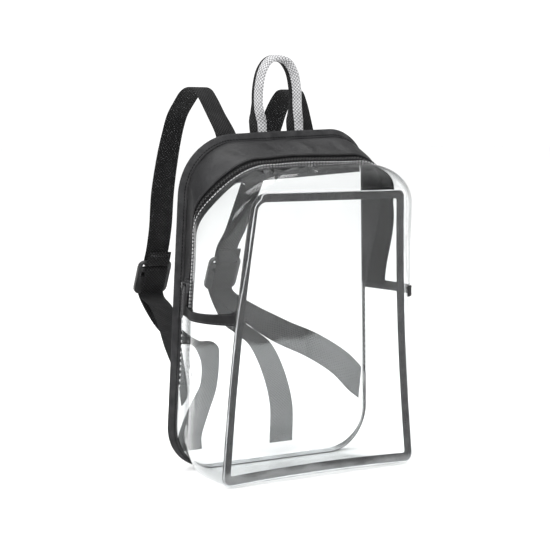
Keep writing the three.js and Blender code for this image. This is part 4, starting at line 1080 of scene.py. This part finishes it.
def handle_half(name, tone, material, slot):
    def place(side, row):
        out, rise, back, fold = row
        turn = -fold * math.radians(HANDLE_TURN[side])
        where = (HANDLE_SHIFT + side * HANDLE_APART * out, BACK_Y + back, BACK_TOP + HANDLE_RISE * rise)
        return where, (fold, turn)

    rows = [place(-1, r) for r in HANDLE_ROWS] + [place(1, HANDLE_CREST)]
    rows += [place(1, r) for r in HANDLE_ROWS[::-1]]
    points = [r[0] for r in rows]
    folds = np.array([r[1] for r in rows], float)
    centre, tangent, index = spline(points, (len(points) - 1) * SPLINE_STEPS + 1)
    fold, turn = between(folds, index).T
    wide = np.stack([np.cos(turn), np.sin(turn), np.zeros(len(turn))], -1)
    wide = unit(wide - tangent * np.einsum("ij,ij->i", wide, tangent)[:, None])
    thin = unit(np.cross(tangent, wide))
    half_width = (HANDLE_FLAT_WIDTH + (HANDLE_FOLD_WIDTH - HANDLE_FLAT_WIDTH) * fold) / 2
    half_thick = (HANDLE_FLAT_THICKNESS + (HANDLE_FOLD_THICKNESS - HANDLE_FLAT_THICKNESS) * fold) / 2
    reach = np.array([0, 0.25, 0.5, 0.7, 0.85, 0.95, 1.0])
    upper_side = np.stack([reach, np.sqrt(1 - reach ** 2 * 0.85)], -1)
    lower_side = upper_side[::-1] * [1, -1]
    section = np.concatenate([upper_side, lower_side])
    start = GAP / 2 - tone * HANDLE_SEAM
    edge = start + section[None, :, 0] * (half_width[:, None] - start)
    height = section[None, :, 1] * half_thick[:, None]
    aside = (tone * edge)[..., None] * wide[:, None, :]
    loops = centre[:, None, :] + aside + height[..., None] * thin[:, None, :]
    walked = lengths(centre, 0)
    around = lengths(section * [8, 2.4], 0)
    uv = np.stack(np.broadcast_arrays(around[None, :], walked[:, None]), -1).reshape(-1, 2)
    obj = tube_object(name, loops, material, uv)
    return belongs(obj, "bag", slot, name.replace("_webbing", ""))


handle_half("handle_light_webbing", 1, grey_webbing, "grey_webbing")
handle_half("handle_dark_webbing", -1, dark_webbing, "black_webbing")

# Hard pieces kept from the solids
for node, material, width in (
    ("buckle_left", buckle_plastic, 0.5),
    ("buckle_right", buckle_plastic, 0.5),
    ("zip_slider", zip_metal, 0.25),
    ("zip_pull", zip_metal, 0.2),
):
    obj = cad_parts[node]
    obj.data.materials.clear()
    obj.data.materials.append(material)
    bevel = obj.modifiers.new("edges", "BEVEL")
    bevel.width = width * MM
    bevel.segments = 2
    bevel.limit_method = "ANGLE"


# Camera, lights and floor
# The camera was fitted to the photo's seams: angles in radians, the lens in millimetres, the place in metres
AZIMUTH, PITCH, ROLL = 0.5627, 0.1028, 0.0051
LENS = 101.72
CAMERA_PLACE = (-0.75934, -1.16492, 0.32055)
forward = np.array([math.sin(AZIMUTH) * math.cos(PITCH), math.cos(AZIMUTH) * math.cos(PITCH), -math.sin(PITCH)])
right = np.array([math.cos(AZIMUTH), -math.sin(AZIMUTH), 0])
upward = np.cross(right, forward)
right, upward = (
    right * math.cos(ROLL) + upward * math.sin(ROLL),
    upward * math.cos(ROLL) - right * math.sin(ROLL),
)
camera_data = bpy.data.cameras.new("camera")
camera_data.lens = LENS
camera_data.sensor_width = 36
camera_data.clip_end = 50
camera = bpy.data.objects.new("camera", camera_data)
bpy.context.scene.collection.objects.link(camera)
axes = Matrix((right, upward, -forward)).transposed().to_4x4()
camera.matrix_world = Matrix.Translation(CAMERA_PLACE) @ axes
bpy.context.scene.camera = camera

floor_look = Look("pale_floor")
floor_shader = floor_look.add("BsdfPrincipled", {
    "Base Color": floor_look.mix(floor_look.noise(300, 2), (0.955, 0.955, 0.955), (0.97, 0.97, 0.97)),
    "Roughness": 0.75,
})
floor_material = floor_look.finish(floor_shader.outputs[0])
FLOOR_HALF = 12000
corners = [(x * FLOOR_HALF, y * FLOOR_HALF, 0) for x, y in ((-1, -1), (1, -1), (1, 1), (-1, 1))]
floor = add_object("floor", corners, [[0, 1, 2, 3]], None, floor_material)

# The studio. The floor and the view past the bag stay plain white, and only reflections see a room: a bright
# wall behind the bag with a darker band along its top, dim sides and a bright ceiling.
BACKDROP_STRENGTH = 1.12
BEHIND_BAG = (0.533, 0.846, 0)
UP = (0, 0, 1)
studio = Look("studio", "World")
toward = studio.add("TexCoord").outputs["Generated"]


def reflected_wall(direction, start, end, dim, bright):
    """A brightness that goes from dim to bright as a reflection turns towards a direction."""
    facing = studio.add("VectorMath", {0: toward, 1: direction}, operation="DOT_PRODUCT").outputs["Value"]
    return studio.spread(facing, start, end, dim, bright)


behind_bag = reflected_wall(BEHIND_BAG, 0.1, 0.75, 0.18, 1.15)
under_header = reflected_wall(UP, 0.02, 0.16, 1.0, 0.28)
ceiling = reflected_wall(UP, 0.55, 0.85, 0.1, 1.0)
brightness = studio.math("MAXIMUM", studio.math("MULTIPLY", behind_bag, under_header), ceiling)
room = studio.add("Background", {"Strength": brightness}).outputs[0]
backdrop = studio.add("Background", {"Color": (1, 1, 1, 1), "Strength": BACKDROP_STRENGTH}).outputs[0]
reflected = studio.add("LightPath").outputs["Is Glossy Ray"]
seen = studio.add("MixShader", {0: reflected, 1: backdrop, 2: room}).outputs[0]
bpy.context.scene.world = studio.finish(seen)


def softbox(name, place, target, width, height, power, mirrored=True):
    data = bpy.data.lights.new(name, "AREA")
    data.shape = "RECTANGLE"
    data.size, data.size_y = width, height
    data.energy = power
    obj = bpy.data.objects.new(name, data)
    obj.location = place
    obj.rotation_euler = (Vector(target) - Vector(place)).to_track_quat("-Z", "Y").to_euler()
    obj.visible_glossy = mirrored
    bpy.context.scene.collection.objects.link(obj)


softbox("key", (-1.3, -0.7, 1.3), (0, 0, 0.15), 0.9, 0.9, 20)
softbox("fill", (1.2, -1.2, 0.7), (0, 0, 0.15), 0.8, 1.2, 8, mirrored=False)
softbox("top", (0.1, 0.3, 1.6), (0, 0, 0.1), 1.2, 0.8, 14)

scene = bpy.context.scene
scene.view_settings.view_transform = "Standard"
scene.cycles.transparent_max_bounces = 32
scene.cycles.max_bounces = 24
scene.cycles.glossy_bounces = 20
